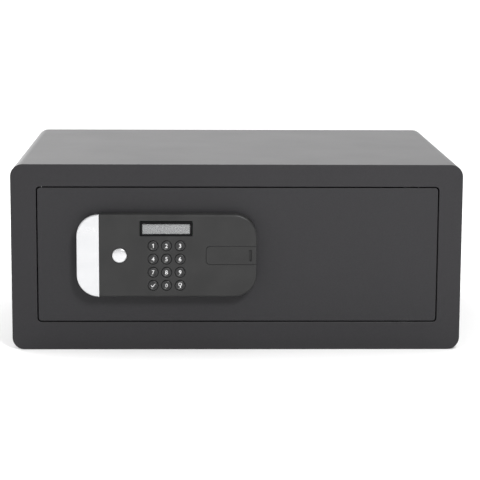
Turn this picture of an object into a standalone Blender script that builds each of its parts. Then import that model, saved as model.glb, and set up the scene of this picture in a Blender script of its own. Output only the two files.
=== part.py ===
"""In-room safe: a wide, low steel cabinet with a flush door, a keypad lock and motor-driven bolts.

Lengths are in millimetres and become metres as each mesh is made. X runs to the right, Y away
from the user and Z up. The origin is the centre of the underside. A depth is measured from the
front face of the frame, positive into the cabinet, and y_at() turns it into a Y coordinate.
At rest the door is shut and its two bolts are drawn.
"""
import math

import bmesh
import bpy
from mathutils import Matrix, Vector

# ---------------------------------------------------------------- driving dimensions
METRE = 0.001
GAP = 0.3

WIDTH = 480.0
HEIGHT = 200.0
DEPTH = 350.0
SHEET = 3.0
CORNER = 13.0

# Opening in the front frame, and the door plate that fills it.
OPEN_LEFT, OPEN_RIGHT = -213.1, 215.1
OPEN_LOW, OPEN_HIGH = 29.9, 176.5
OPEN_CORNER = 4.0
DOOR_GAP = 1.6
DOOR_THICK = 6.0
DOOR_LEFT, DOOR_RIGHT = OPEN_LEFT + DOOR_GAP, OPEN_RIGHT - DOOR_GAP
DOOR_LOW, DOOR_HIGH = OPEN_LOW + DOOR_GAP, OPEN_HIGH - DOOR_GAP
DOOR_BACK = DOOR_THICK + GAP
STOP_RIGHT = DOOR_LEFT + 2.1

# Anchor holes through the floor and the back, and the felt mat on the floor.
ANCHOR_RADIUS = 5.0
FLOOR_ANCHOR_X, FLOOR_ANCHOR_DEPTH = 150.0, 250.0
BACK_ANCHOR_X, BACK_ANCHOR_Z = 120.0, 60.0
MAT_HALF_WIDTH = 224.0
MAT_FRONT, MAT_BACK = 8.0, 345.0
MAT_THICK = 3.0

# Hinge line: inboard of the door's right edge and behind the plate.
HINGE_X = DOOR_RIGHT - 32.0
HINGE_DEPTH = 13.0
PIN_RADIUS = 4.0
PIN_LENGTH = 26.0
PIN_CLEARANCE = 0.4
UPPER_PIN_Z, LOWER_PIN_Z = 160.0, 48.0
BRACKET_THICK = 3.0
BRACKET_BACK = 26.0
BRACKET_LEFT, BRACKET_RIGHT = HINGE_X - 20.0, HINGE_X + 24.0
UPPER_BRACKET_Z, UPPER_FLANGE_Z = 178.0, 193.0
LOWER_BRACKET_Z, LOWER_FLANGE_Z = 27.9, 8.0
KNUCKLE_HALF = 10.0
KNUCKLE_BACK = 22.0
UPPER_KNUCKLE = (156.0, 174.6)
LOWER_KNUCKLE = (DOOR_LOW + 2 * GAP, 50.0)

# Strike behind the frame on the lock side, and the fixed bar on the hinge side.
STRIKE_LEFT, STRIKE_BACK = -236.0, 40.0
STRIKE_LOW, STRIKE_HIGH = 36.0, 171.0
STOP_LOW, STOP_HIGH = 90.0, 118.0
STOP_CLEARANCE = 0.4
DOG_BAR = (196.0, 222.0, 55.0, 151.0)
DOG_BAR_THICK = 4.0

# Liner tray on the inner side of the door.
LINER_LEFT, LINER_RIGHT = -206.5, 165.0
LINER_LOW, LINER_HIGH = 36.0, 170.4
LINER_BACK = 45.0
LINER_WALL = 1.5
SCREW_INSET = 12.0
GUIDE_CLEARANCE = 8.0
SHANK_RADIUS, HEAD_RADIUS, HEAD_HEIGHT = 2.0, 3.8, 2.2

# Lock housing on the outer side of the door.
HOUSING_LEFT, HOUSING_RIGHT = -169.8, 20.8
HOUSING_LOW, HOUSING_HIGH = 60.4, 148.8
HOUSING_RADIUS = 24.0
HOUSING_PROUD = 15.0
HOUSING_WALL = 2.0
GRIP_EDGE = -145.8
GRIP_THICK = 4.5
GRIP_WEB = 5.0

# Display window and keys.
WINDOW = (-103.0, -47.2, 125.7, 141.8)
KEY_COLUMNS = (-88.9, -74.8, -60.4)
KEY_ROWS = (115.4, 101.2, 87.0, 72.9)
KEY_NAMES = (
    ("key_1", "key_2", "key_3"),
    ("key_4", "key_5", "key_6"),
    ("key_7", "key_8", "key_9"),
    ("key_enter", "key_0", "key_code"),
)
KEY_RADIUS = 5.3
KEY_HOLE_RADIUS = 5.7
KEY_FLANGE_RADIUS = 6.3
KEY_PROUD = 1.0

# Service cover: a flat slide over the power socket, open to the housing's right edge.
COVER_LEFT = -32.7
COVER_LOW, COVER_HIGH = 95.4, 114.6
COVER_RADIUS = 4.0
COVER_THICK = 2.0
COVER_LIP = 1.0
NAIL_SLOT = (12.4, 15.4, 99.0, 111.0)
NAIL_DEPTH = 1.1
SOCKET_CENTRE = (-18.0, 105.0)
SOCKET_HALF_WIDTH, SOCKET_HALF_HEIGHT = 6.0, 4.0
CABLE_SLOT = (-46.0, -30.0, 105.0, 4.0)

# Override lock under the round cap.
LOCK_X, LOCK_Z = -124.4, 104.8
CAP_RADIUS, CAP_PROUD = 7.8, 0.8
CYLINDER_RADIUS, CYLINDER_FRONT, CYLINDER_BACK = 8.0, -9.5, 23.0
FLANGE_RADIUS, FLANGE_FRONT = 10.5, -2.3
PLUG_RADIUS, PLUG_FRONT, PLUG_BACK = 5.0, -9.2, 26.6
CAM_LENGTH, CAM_THICK = 30.4, 3.0
KEYWAY_HALF_WIDTH, KEYWAY_HALF_HEIGHT, KEYWAY_DEPTH = 0.9, 3.4, 12.0
NUT_HALF_ACROSS, NUT_THICK = 11.0, 4.0

# Bolt work: two bolts on one carriage, moved by a rack and pinion.
BOLT_RADIUS = 10.0
BOLT_LENGTH = 60.0
BOLT_DEPTH = 17.0
BOLT_HEIGHTS = (70.0, 137.0)
BOLT_TIP = -209.5
BOLT_TRAVEL = 20.0
BOLT_CLEARANCE = 0.8
GUIDE_THICK, GUIDE_BACK = 12.0, 31.0
GUIDE_LOW, GUIDE_HIGH = 52.0, 155.0
CARRIAGE_LEFT = BOLT_TIP + BOLT_LENGTH + GAP
CARRIAGE_DEPTH = 27.3
CARRIAGE_THICK = 3.0
CARRIAGE_FLANGE_FRONT = 9.0
CARRIAGE_LOW, CARRIAGE_HIGH = 58.0, 152.0
ARM_RIGHT = -88.0
POST_X = -118.0
POST_HEIGHTS = (76.0, 144.6)
POST_RADIUS = 3.1
COLLAR_RADIUS, POST_HEAD_RADIUS, POST_HEAD = 5.0, 5.5, 2.0
SLOT_HALF = 3.4

# Gearbox and motor on the inner side of the door.
GEARBOX = (-94.0, -54.0, 112.0, 142.0)
GEARBOX_FRONT, GEARBOX_BACK = 8.0, 26.2
SHAFT_RADIUS, SHAFT_LENGTH = 2.0, 10.0
MOTOR_X, MOTOR_DEPTH = -72.0, 17.0
MOTOR_RADIUS, MOTOR_LENGTH = 10.0, 40.0

# Gear data for the rack and its pinion.
MODULE = 1.0
TEETH = 12
PRESSURE_ANGLE = math.radians(25)
ADDENDUM = 0.8 * MODULE
DEDENDUM = 1.1 * MODULE
BACKLASH = 0.2
PITCH_RADIUS = MODULE * TEETH / 2
RACK_PITCH_Z = 135.7
PINION_X = -75.0
PINION_Z = RACK_PITCH_Z - PITCH_RADIUS
RACK_TEETH_LEFT, RACK_TEETH_RIGHT = 2, 9

# Batteries on the inner side of the door, behind their own cover.
BATTERY = (40.0, 104.0, 74.0, 134.0)
BATTERY_WALL = 1.5
CELL_RADIUS = 7.1
CELL_PITCH = 14.0
CELL_LENGTH = 50.0
CELL_DEPTH = 33.6
RESET_X, RESET_Z = 0.0, 120.0
RESET_HOLE = 3.4

# Circuit boards, and the depth at which the leads reach the control board.
KEYPAD_MAT = (-98.0, -51.0, 64.5, 123.5)
KEYPAD_BOARD = (-105.0, -38.0, 63.5, 145.5)
BOARD = (-30.0, 30.0, 68.0, 138.0)
BOARD_FRONT, BOARD_BACK = 33.0, 34.6
BOARD_POST_RADIUS, BOARD_POST_INSET = 3.0, 5.0
PLUG_DEPTH = 37.5


# ---------------------------------------------------------------- scene and materials
def clear_scene():
    for item in list(bpy.data.objects):
        bpy.data.objects.remove(item)


def finish_material(name, colour, roughness, metallic=0.0, transmission=0.0):
    material = bpy.data.materials.new(name)
    material.use_nodes = True
    shader = material.node_tree.nodes["Principled BSDF"]
    shader.inputs["Base Color"].default_value = (*colour, 1.0)
    shader.inputs["Roughness"].default_value = roughness
    shader.inputs["Metallic"].default_value = metallic
    shader.inputs["Transmission Weight"].default_value = transmission
    material.diffuse_color = (*colour, 1.0)
    return material


def make_materials():
    return {
        "body_paint": finish_material("body_paint", (0.055, 0.055, 0.058), 0.55),
        "door_paint": finish_material("door_paint", (0.050, 0.052, 0.056), 0.55),
        "zinc": finish_material("zinc", (0.55, 0.56, 0.57), 0.35, 1.0),
        "chrome": finish_material("chrome", (0.90, 0.90, 0.90), 0.08, 1.0),
        "black_plastic": finish_material("black_plastic", (0.030, 0.030, 0.030), 0.5),
        "gloss_plastic": finish_material("gloss_plastic", (0.010, 0.010, 0.010), 0.12),
        "key_plastic": finish_material("key_plastic", (0.020, 0.020, 0.020), 0.25),
        "clear_plastic": finish_material("clear_plastic", (0.8, 0.8, 0.8), 0.05, 0.0, 0.9),
        "lcd_grey": finish_material("lcd_grey", (0.36, 0.36, 0.36), 0.3),
        "circuit_green": finish_material("circuit_green", (0.03, 0.16, 0.07), 0.45),
        "silicone": finish_material("silicone", (0.25, 0.25, 0.25), 0.7),
        "brass": finish_material("brass", (0.75, 0.58, 0.28), 0.3, 1.0),
        "felt": finish_material("felt", (0.03, 0.03, 0.032), 0.95),
        "battery_skin": finish_material("battery_skin", (0.30, 0.30, 0.32), 0.35, 0.6),
        "red_plastic": finish_material("red_plastic", (0.50, 0.03, 0.03), 0.35),
        "lead_skin": finish_material("lead_skin", (0.02, 0.02, 0.02), 0.5),
    }


# ---------------------------------------------------------------- outlines
def y_at(depth):
    return depth - DEPTH / 2


def rectangle(left, right, low, high):
    return [(left, low), (right, low), (right, high), (left, high)]


def circle(centre_u, centre_v, radius, steps=24):
    turns = [2 * math.pi * step / steps for step in range(steps)]
    return [(centre_u + radius * math.cos(t), centre_v + radius * math.sin(t)) for t in turns]


def arc(centre_u, centre_v, radius, start, stop, steps=6):
    turns = [math.radians(start + (stop - start) * step / steps) for step in range(steps + 1)]
    return [(centre_u + radius * math.cos(t), centre_v + radius * math.sin(t)) for t in turns]


def rounded_rectangle(left, right, low, high, radius, steps=5):
    points = arc(right - radius, low + radius, radius, -90, 0, steps)
    points += arc(right - radius, high - radius, radius, 0, 90, steps)
    points += arc(left + radius, high - radius, radius, 90, 180, steps)
    points += arc(left + radius, low + radius, radius, 180, 270, steps)
    return points


def slot_outline(left, right, centre_v, half, steps=6):
    points = arc(right - half, centre_v, half, -90, 90, steps)
    points += arc(left + half, centre_v, half, 90, 270, steps)
    return points


def right_round_outline(left, right, low, high, radius, steps=8):
    """A rectangle whose two right-hand corners are round."""
    points = [(left, low)]
    points += arc(right - radius, low + radius, radius, -90, 0, steps)
    points += arc(right - radius, high - radius, radius, 0, 90, steps)
    points.append((left, high))
    return points


def left_round_outline(left, right, low, high, steps=8):
    """An upright D: its two left-hand corners are as round as it is wide."""
    radius = right - left
    points = arc(right, high - radius, radius, 90, 180, steps)
    points += arc(right, low + radius, radius, 180, 270, steps)
    return points


# ---------------------------------------------------------------- mesh helpers
def on_axis(axis, u, v, along):
    """A point from profile coordinates: (x, z), (y, z) or (x, y) plus the distance along the axis."""
    if axis == "Y":
        return Vector((u, along, v)) * METRE
    if axis == "X":
        return Vector((along, u, v)) * METRE
    return Vector((u, v, along)) * METRE


def finish_mesh(name, work, material, smooth):
    bmesh.ops.recalc_face_normals(work, faces=work.faces[:])
    mesh = bpy.data.meshes.new(name)
    work.to_mesh(mesh)
    work.free()
    mesh.materials.append(material)
    if smooth:
        mesh.shade_smooth()
        mesh.set_sharp_from_angle(angle=math.radians(35))
    return mesh


def place_mesh(name, mesh, parent, place=(0, 0, 0)):
    piece = bpy.data.objects.new(name, mesh)
    piece.location = Vector(place) * METRE
    bpy.context.scene.collection.objects.link(piece)
    if parent is not None:
        piece.parent = parent
        piece.matrix_parent_inverse = Matrix.Translation(-parent.location)
    return piece


def prism(name, outline, span, material, parent, axis="Y", holes=()):
    """A flat outline, with any holes, given thickness along one axis."""
    work = bmesh.new()
    for loop in (outline, *holes):
        verts = [work.verts.new(on_axis(axis, u, v, span[0])) for u, v in loop]
        for first, second in zip(verts, verts[1:] + verts[:1]):
            work.edges.new((first, second))
    bmesh.ops.triangle_fill(work, use_beauty=True, edges=work.edges[:])
    grown = bmesh.ops.extrude_face_region(work, geom=work.faces[:])
    moved = [item for item in grown["geom"] if isinstance(item, bmesh.types.BMVert)]
    bmesh.ops.translate(work, verts=moved, vec=on_axis(axis, 0, 0, span[1] - span[0]))
    return place_mesh(name, finish_mesh(name, work, material, False), parent)


def turned_mesh(name, profile, material, axis="Y", steps=24, ring=False):
    """A profile of (radius, distance along the axis) points spun round; a ring's profile is closed."""
    work = bmesh.new()
    verts = [work.verts.new(Vector((radius, 0, along)) * METRE) for radius, along in profile]
    for first, second in zip(verts, verts[1:]):
        work.edges.new((first, second))
    if ring:
        work.edges.new((verts[-1], verts[0]))
    bmesh.ops.spin(
        work, geom=work.verts[:] + work.edges[:], cent=(0, 0, 0), axis=(0, 0, 1),
        angle=2 * math.pi, steps=steps, use_duplicate=False,
    )
    bmesh.ops.remove_doubles(work, verts=work.verts[:], dist=0.01 * METRE)
    if axis == "Y":
        bmesh.ops.rotate(work, verts=work.verts[:], matrix=Matrix.Rotation(-math.pi / 2, 3, "X"))
    if axis == "X":
        bmesh.ops.rotate(work, verts=work.verts[:], matrix=Matrix.Rotation(math.pi / 2, 3, "Y"))
    return finish_mesh(name, work, material, True)


def boolean(piece, tool, operation="DIFFERENCE"):
    """Cut or join a hidden tool into a piece."""
    tool.hide_render = True
    tool.display_type = "WIRE"
    modifier = piece.modifiers.new(tool.name, "BOOLEAN")
    modifier.operation = operation
    modifier.solver = "EXACT"
    modifier.object = tool
    return piece


def cut_cylinder(piece, name, radius, span, place, axis="Y", steps=24):
    length = span[1] - span[0]
    profile = [(0, 0), (radius, 0), (radius, length), (0, length)]
    mesh = turned_mesh(name, profile, piece.data.materials[0], axis, steps)
    start = {"X": (span[0], place[0], place[1]), "Y": (place[0], span[0], place[1])}
    start["Z"] = (place[0], place[1], span[0])
    return boolean(piece, place_mesh(name, mesh, None, start[axis]))


def joint_empty(name, place):
    """An empty on a joint's axis, which carries the pieces that move with it."""
    empty = bpy.data.objects.new(name, None)
    empty.location = Vector(place) * METRE
    bpy.context.scene.collection.objects.link(empty)
    return empty


def lead(name, route, radius, material, parent):
    """A held lead: a smooth curve through its route, read at even steps, as a round tube."""
    points = smooth_route(route, 3)
    curve = bpy.data.curves.new(name, "CURVE")
    curve.dimensions = "3D"
    spline = curve.splines.new("POLY")
    spline.points.add(len(points) - 1)
    for target, point in zip(spline.points, points):
        target.co = (*(point * METRE), 1.0)
    curve.bevel_depth = radius * METRE
    curve.bevel_resolution = 2
    curve.use_fill_caps = True
    curve.materials.append(material)
    return place_mesh(name, curve, parent)


def smooth_route(route, steps):
    """Points along a Catmull-Rom curve through the route."""
    points = [Vector(point) for point in route]
    points = [2 * points[0] - points[1]] + points + [2 * points[-1] - points[-2]]
    result = []
    for before, start, stop, after in zip(points, points[1:], points[2:], points[3:]):
        for step in range(steps):
            t = step / steps
            bend = (stop - before) * t
            bend += (2 * before - 5 * start + 4 * stop - after) * t ** 2
            bend += (3 * start - before - 3 * stop + after) * t ** 3
            result.append(start + bend / 2)
    result.append(points[-2])
    return result


# ---------------------------------------------------------------- cabinet
def make_body_shell(paint):
    """The bent wrap: floor, sides and top in one sheet, with two anchor holes in the floor."""
    outer = rounded_rectangle(-WIDTH / 2, WIDTH / 2, 0, HEIGHT, CORNER)
    inner = rounded_rectangle(
        -WIDTH / 2 + SHEET, WIDTH / 2 - SHEET, SHEET, HEIGHT - SHEET, CORNER - SHEET)
    shell = prism("body_shell", outer, (y_at(0), y_at(DEPTH)), paint, None, holes=(inner,))
    for side, word in ((-1, "left"), (1, "right")):
        centre = (side * FLOOR_ANCHOR_X, y_at(FLOOR_ANCHOR_DEPTH))
        name = "floor_anchor_cutter_" + word
        cut_cylinder(shell, name, ANCHOR_RADIUS, (-1, SHEET + 1), centre, "Z", 16)


def frame_outline():
    """The outline that fills the wrap with a gap all round."""
    inset = SHEET + GAP
    return rounded_rectangle(
        -WIDTH / 2 + inset, WIDTH / 2 - inset, inset, HEIGHT - inset, CORNER - inset)


def make_front_frame(paint):
    opening = rounded_rectangle(OPEN_LEFT, OPEN_RIGHT, OPEN_LOW, OPEN_HIGH, OPEN_CORNER)
    span = (y_at(0), y_at(SHEET))
    prism("front_frame", frame_outline(), span, paint, None, holes=(opening,))


def make_back_panel(paint):
    anchors = [circle(side * BACK_ANCHOR_X, BACK_ANCHOR_Z, ANCHOR_RADIUS, 16) for side in (-1, 1)]
    span = (y_at(DEPTH - SHEET), y_at(DEPTH))
    prism("back_panel", frame_outline(), span, paint, None, holes=anchors)


def make_floor_mat(felt):
    outline = rounded_rectangle(
        -MAT_HALF_WIDTH, MAT_HALF_WIDTH, y_at(MAT_FRONT), y_at(MAT_BACK), 4.0, 3)
    low = SHEET + GAP
    prism("floor_mat", outline, (low, low + MAT_THICK), felt, None, "Z")


def make_hinge_bracket(name, leg_low, flange, metal):
    """An angle welded behind the frame, whose level leg takes a hinge pin."""
    near, far = y_at(SHEET + GAP), y_at(BRACKET_BACK)
    inner = near + BRACKET_THICK
    leg_high = leg_low + BRACKET_THICK
    if flange > leg_high:
        outline = [(near, leg_low), (far, leg_low), (far, leg_high), (inner, leg_high)]
        outline += [(inner, flange), (near, flange)]
    else:
        outline = [(near, flange), (inner, flange), (inner, leg_low), (far, leg_low)]
        outline += [(far, leg_high), (near, leg_high)]
    bracket = prism(name, outline, (BRACKET_LEFT, BRACKET_RIGHT), metal, None, "X")
    centre = (HINGE_X, y_at(HINGE_DEPTH))
    through = (leg_low - 1, leg_high + 1)
    cut_cylinder(bracket, name + "_bore", PIN_RADIUS + PIN_CLEARANCE, through, centre, "Z")


def make_thrust_washer(metal):
    low = LOWER_BRACKET_Z + GAP
    height = DOOR_LOW + GAP - low
    bore = PIN_RADIUS + PIN_CLEARANCE
    rim = HINGE_DEPTH - DOOR_BACK - GAP
    profile = [(bore, 0), (rim, 0), (rim, height), (bore, height)]
    mesh = turned_mesh("thrust_washer", profile, metal, "Z", 24, ring=True)
    place_mesh("thrust_washer", mesh, None, (HINGE_X, y_at(HINGE_DEPTH), low))


def make_bolt_strike(metal):
    """An angle welded behind the frame with two bolt holes and a tab that stops the door."""
    near, far = y_at(SHEET + GAP), y_at(STRIKE_BACK)
    wall = OPEN_LEFT - GAP
    outline = [(STRIKE_LEFT, near), (wall, near), (wall, far), (wall - SHEET, far)]
    outline += [(wall - SHEET, near + SHEET), (STRIKE_LEFT, near + SHEET)]
    strike = prism("bolt_strike", outline, (STRIKE_LOW, STRIKE_HIGH), metal, None, "Z")
    stop_depth = DOOR_THICK + STOP_CLEARANCE
    stop_outline = rectangle(wall - 1.0, STOP_RIGHT, STOP_LOW, STOP_HIGH)
    stop_span = (y_at(stop_depth), y_at(stop_depth + SHEET))
    boolean(strike, prism("door_stop_tool", stop_outline, stop_span, metal, None), "UNION")
    for number, height in enumerate(BOLT_HEIGHTS):
        span = (wall - SHEET - 2, wall + 2)
        centre = (y_at(BOLT_DEPTH), height)
        radius = BOLT_RADIUS + BOLT_CLEARANCE
        cut_cylinder(strike, f"strike_hole_{number}", radius, span, centre, "X", 32)


# ---------------------------------------------------------------- door plate, hinge and liner
def make_door_plate(paint, door):
    outline = rounded_rectangle(
        DOOR_LEFT, DOOR_RIGHT, DOOR_LOW, DOOR_HIGH, OPEN_CORNER - DOOR_GAP / 2)
    cylinder_hole = circle(LOCK_X, LOCK_Z, CYLINDER_RADIUS + GAP, 32)
    cable_hole = slot_outline(*CABLE_SLOT)
    prism("door_plate", outline, (y_at(0), y_at(DOOR_THICK)), paint, door,
          holes=(cylinder_hole, cable_hole))


def make_hinge_knuckle(name, span, metal, door):
    left, right = HINGE_X - KNUCKLE_HALF, HINGE_X + KNUCKLE_HALF
    outline = rounded_rectangle(left, right, y_at(DOOR_BACK), y_at(KNUCKLE_BACK), 2.0, 3)
    bore = circle(HINGE_X, y_at(HINGE_DEPTH), PIN_RADIUS + GAP)
    prism(name, outline, span, metal, door, "Z", holes=(bore,))


def make_hinge_pins(metal, door):
    """Two pins that share one turned shape; the lower one is the upper one turned over."""
    chamfer = 1.0
    profile = [(0, 0), (PIN_RADIUS, 0), (PIN_RADIUS, PIN_LENGTH - chamfer)]
    profile += [(PIN_RADIUS - chamfer, PIN_LENGTH), (0, PIN_LENGTH)]
    mesh = turned_mesh("hinge_pin", profile, metal, "Z", 24)
    centre_y = y_at(HINGE_DEPTH)
    place_mesh("hinge_pin_upper", mesh, door, (HINGE_X, centre_y, UPPER_PIN_Z))
    lower = place_mesh("hinge_pin_lower", mesh, door, (HINGE_X, centre_y, LOWER_PIN_Z))
    lower.rotation_euler = (math.pi, 0, 0)


def make_dog_bar(paint, door):
    """The fixed bar that stays behind the frame on the hinge side."""
    span = (y_at(DOOR_BACK), y_at(DOOR_BACK + DOG_BAR_THICK))
    prism("dog_bar", rectangle(*DOG_BAR), span, paint, door)


def make_door_cover(paint, door):
    """The liner tray: a flat back with four walls, open towards the door plate."""
    rear = y_at(LINER_BACK)
    outer = rounded_rectangle(LINER_LEFT, LINER_RIGHT, LINER_LOW, LINER_HIGH, 4.0, 3)
    cover = prism("door_cover", outer, (y_at(DOOR_BACK), rear), paint, door)
    hollow = rounded_rectangle(
        LINER_LEFT + LINER_WALL, LINER_RIGHT - LINER_WALL,
        LINER_LOW + LINER_WALL, LINER_HIGH - LINER_WALL, 2.5, 3)
    hollow_span = (y_at(DOOR_BACK - 2), rear - LINER_WALL)
    boolean(cover, prism("liner_hollow_cutter", hollow, hollow_span, paint, None))
    through = (rear - LINER_WALL - 1, rear + 1)
    battery = rectangle(*BATTERY)
    boolean(cover, prism("battery_opening_cutter", battery, through, paint, None))
    cut_cylinder(cover, "reset_hole_cutter", RESET_HOLE, through, (RESET_X, RESET_Z), "Y", 16)
    for number, (x, z) in enumerate(screw_places()):
        radius = SHANK_RADIUS + PIN_CLEARANCE
        cut_cylinder(cover, f"screw_hole_cutter_{number}", radius, through, (x, z), "Y", 12)
    for number, height in enumerate(BOLT_HEIGHTS):
        span = (LINER_LEFT - 1, LINER_LEFT + LINER_WALL + 1)
        centre = (y_at(BOLT_DEPTH), height)
        radius = BOLT_RADIUS + BOLT_CLEARANCE
        cut_cylinder(cover, f"liner_bolt_hole_{number}", radius, span, centre, "X", 24)


def screw_places():
    """The liner's four screws; the left ones stand clear of the bolt guide."""
    sides = (LINER_LEFT + SCREW_INSET + GUIDE_CLEARANCE, LINER_RIGHT - SCREW_INSET)
    heights = (LINER_LOW + SCREW_INSET, LINER_HIGH - SCREW_INSET)
    return [(x, z) for x in sides for z in heights]


def make_cover_screws(metal, door):
    """Four pan-head screws that hold the liner to the door, each with its own long shank."""
    seat = LINER_BACK - DOOR_BACK + GAP
    top = seat - GAP + HEAD_HEIGHT
    profile = [(0, 0), (SHANK_RADIUS, 0), (SHANK_RADIUS, seat), (HEAD_RADIUS, seat)]
    profile += [(HEAD_RADIUS, top - 1.0), (HEAD_RADIUS - 1.2, top), (0, top)]
    mesh = turned_mesh("cover_screw", profile, metal, "Y", 16)
    for number, (x, z) in enumerate(screw_places(), start=1):
        place_mesh(f"cover_screw_{number}", mesh, door, (x, y_at(DOOR_BACK), z))


# ---------------------------------------------------------------- bolt work
def make_bolt_guide(metal, door):
    """An upright plate near the door's edge whose two bores guide the bolts."""
    outline = rectangle(y_at(DOOR_BACK), y_at(GUIDE_BACK), GUIDE_LOW, GUIDE_HIGH)
    bores = [circle(y_at(BOLT_DEPTH), height, BOLT_RADIUS + GAP, 32) for height in BOLT_HEIGHTS]
    left = LINER_LEFT + LINER_WALL + GAP
    prism("bolt_guide", outline, (left, left + GUIDE_THICK), metal, door, "X", holes=bores)


def make_guide_posts(metal, door):
    """Shouldered posts on the door that carry the carriage in its two slots."""
    collar = CARRIAGE_DEPTH - GAP - DOOR_BACK
    head = CARRIAGE_DEPTH + CARRIAGE_THICK + GAP - DOOR_BACK
    profile = [(0, 0), (COLLAR_RADIUS, 0), (COLLAR_RADIUS, collar), (POST_RADIUS, collar)]
    profile += [(POST_RADIUS, head), (POST_HEAD_RADIUS, head)]
    profile += [(POST_HEAD_RADIUS, head + POST_HEAD), (0, head + POST_HEAD)]
    mesh = turned_mesh("guide_post", profile, metal, "Y", 16)
    for name, height in zip(("guide_post_lower", "guide_post_upper"), POST_HEIGHTS):
        place_mesh(name, mesh, door, (POST_X, y_at(DOOR_BACK), height))


def rack_teeth():
    """Tooth points along the rack's lower edge, left to right; a tooth is centred on the pinion."""
    half = math.pi * MODULE / 4 - BACKLASH / 4
    tip = half - ADDENDUM * math.tan(PRESSURE_ANGLE)
    root = half + DEDENDUM * math.tan(PRESSURE_ANGLE)
    points = []
    for number in range(-RACK_TEETH_LEFT, RACK_TEETH_RIGHT + 1):
        centre = PINION_X + number * math.pi * MODULE
        points += [(centre - root, RACK_PITCH_Z + DEDENDUM), (centre - tip, RACK_PITCH_Z - ADDENDUM)]
        points += [(centre + tip, RACK_PITCH_Z - ADDENDUM), (centre + root, RACK_PITCH_Z + DEDENDUM)]
    return points


def carriage_outline():
    """The plate's edge: square but for the rack that runs out to the right of the arm."""
    teeth = rack_teeth()
    rack_root = RACK_PITCH_Z + DEDENDUM
    rack_end = teeth[-1][0] + 2.0
    outline = [(CARRIAGE_LEFT, CARRIAGE_LOW), (ARM_RIGHT, CARRIAGE_LOW), (ARM_RIGHT, rack_root)]
    outline += teeth
    outline += [(rack_end, rack_root), (rack_end, CARRIAGE_HIGH), (CARRIAGE_LEFT, CARRIAGE_HIGH)]
    return outline


def make_bolt_carriage(metal, slide):
    """The plate that carries both bolts: bent flange, post slots, cam window and rack."""
    margin = CYLINDER_RADIUS + 3.0
    window = rounded_rectangle(
        LOCK_X - margin, LOCK_X + margin + BOLT_TRAVEL,
        LOCK_Z - margin, LOCK_Z + CAM_LENGTH + 1.2, 1.0, 2)
    slots = [
        slot_outline(POST_X - SLOT_HALF, POST_X + BOLT_TRAVEL + SLOT_HALF, height, SLOT_HALF)
        for height in POST_HEIGHTS
    ]
    span = (y_at(CARRIAGE_DEPTH), y_at(CARRIAGE_DEPTH + CARRIAGE_THICK))
    plate = prism("bolt_carriage", carriage_outline(), span, metal, slide, holes=(window, *slots))
    flange = rectangle(
        CARRIAGE_LEFT, CARRIAGE_LEFT + CARRIAGE_THICK, CARRIAGE_LOW, CARRIAGE_HIGH)
    flange_span = (y_at(CARRIAGE_FLANGE_FRONT), y_at(CARRIAGE_DEPTH + 1.0))
    boolean(plate, prism("carriage_flange_tool", flange, flange_span, metal, None), "UNION")


def make_bolts(metal, slide):
    chamfer = 2.0
    profile = [(0, 0), (BOLT_RADIUS - chamfer, 0), (BOLT_RADIUS, chamfer)]
    profile += [(BOLT_RADIUS, BOLT_LENGTH), (0, BOLT_LENGTH)]
    mesh = turned_mesh("lock_bolt", profile, metal, "X", 32)
    for name, height in zip(("lock_bolt_lower", "lock_bolt_upper"), BOLT_HEIGHTS):
        place_mesh(name, mesh, slide, (BOLT_TIP, y_at(BOLT_DEPTH), height))


def involute(angle):
    return math.tan(angle) - angle


def pinion_outline():
    """Twelve involute teeth about the origin, with a tooth space straight above the centre."""
    base = PITCH_RADIUS * math.cos(PRESSURE_ANGLE)
    root = PITCH_RADIUS - DEDENDUM
    tip = PITCH_RADIUS + ADDENDUM
    half_at_pitch = math.pi / 2 / TEETH - BACKLASH / 4 / PITCH_RADIUS
    radii = [base + (tip - base) * step / 3 for step in range(4)]
    flank = []
    for radius in radii:
        pressure = math.acos(base / radius) if radius > base else 0.0
        flank.append((radius, half_at_pitch + involute(PRESSURE_ANGLE) - involute(pressure)))
    flank.insert(0, (root, flank[0][1]))
    points = []
    for tooth in range(TEETH):
        centre = 2 * math.pi * (tooth + 0.5) / TEETH
        sides = [(radius, centre - half) for radius, half in flank]
        sides += [(radius, centre + half) for radius, half in reversed(flank)]
        points += [(radius * math.cos(turn), radius * math.sin(turn)) for radius, turn in sides]
    return points


def make_drive_pinion(plastic, pinion):
    """The gear on the gearbox's shaft; its object sits on the gear's axis."""
    span = (y_at(CARRIAGE_DEPTH - 0.7), y_at(CARRIAGE_DEPTH + CARRIAGE_THICK + 0.9))
    outline = [(PINION_X + u, PINION_Z + v) for u, v in pinion_outline()]
    bore = circle(PINION_X, PINION_Z, SHAFT_RADIUS + GAP, 16)
    prism("drive_pinion", outline, span, plastic, pinion, holes=(bore,))


def make_gearbox(plastic, metal, door):
    """The gearbox with its output shaft standing out behind."""
    outline = rounded_rectangle(*GEARBOX, 3.0, 2)
    box = prism("gearbox", outline, (y_at(GEARBOX_FRONT), y_at(GEARBOX_BACK)), plastic, door)
    profile = [(0, 0), (SHAFT_RADIUS, 0), (SHAFT_RADIUS, SHAFT_LENGTH), (0, SHAFT_LENGTH)]
    shaft = turned_mesh("gearbox_shaft_tool", profile, metal, "Y", 16)
    place = (PINION_X, y_at(GEARBOX_BACK) - 1.2, PINION_Z)
    boolean(box, place_mesh("gearbox_shaft_tool", shaft, None, place), "UNION")


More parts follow.
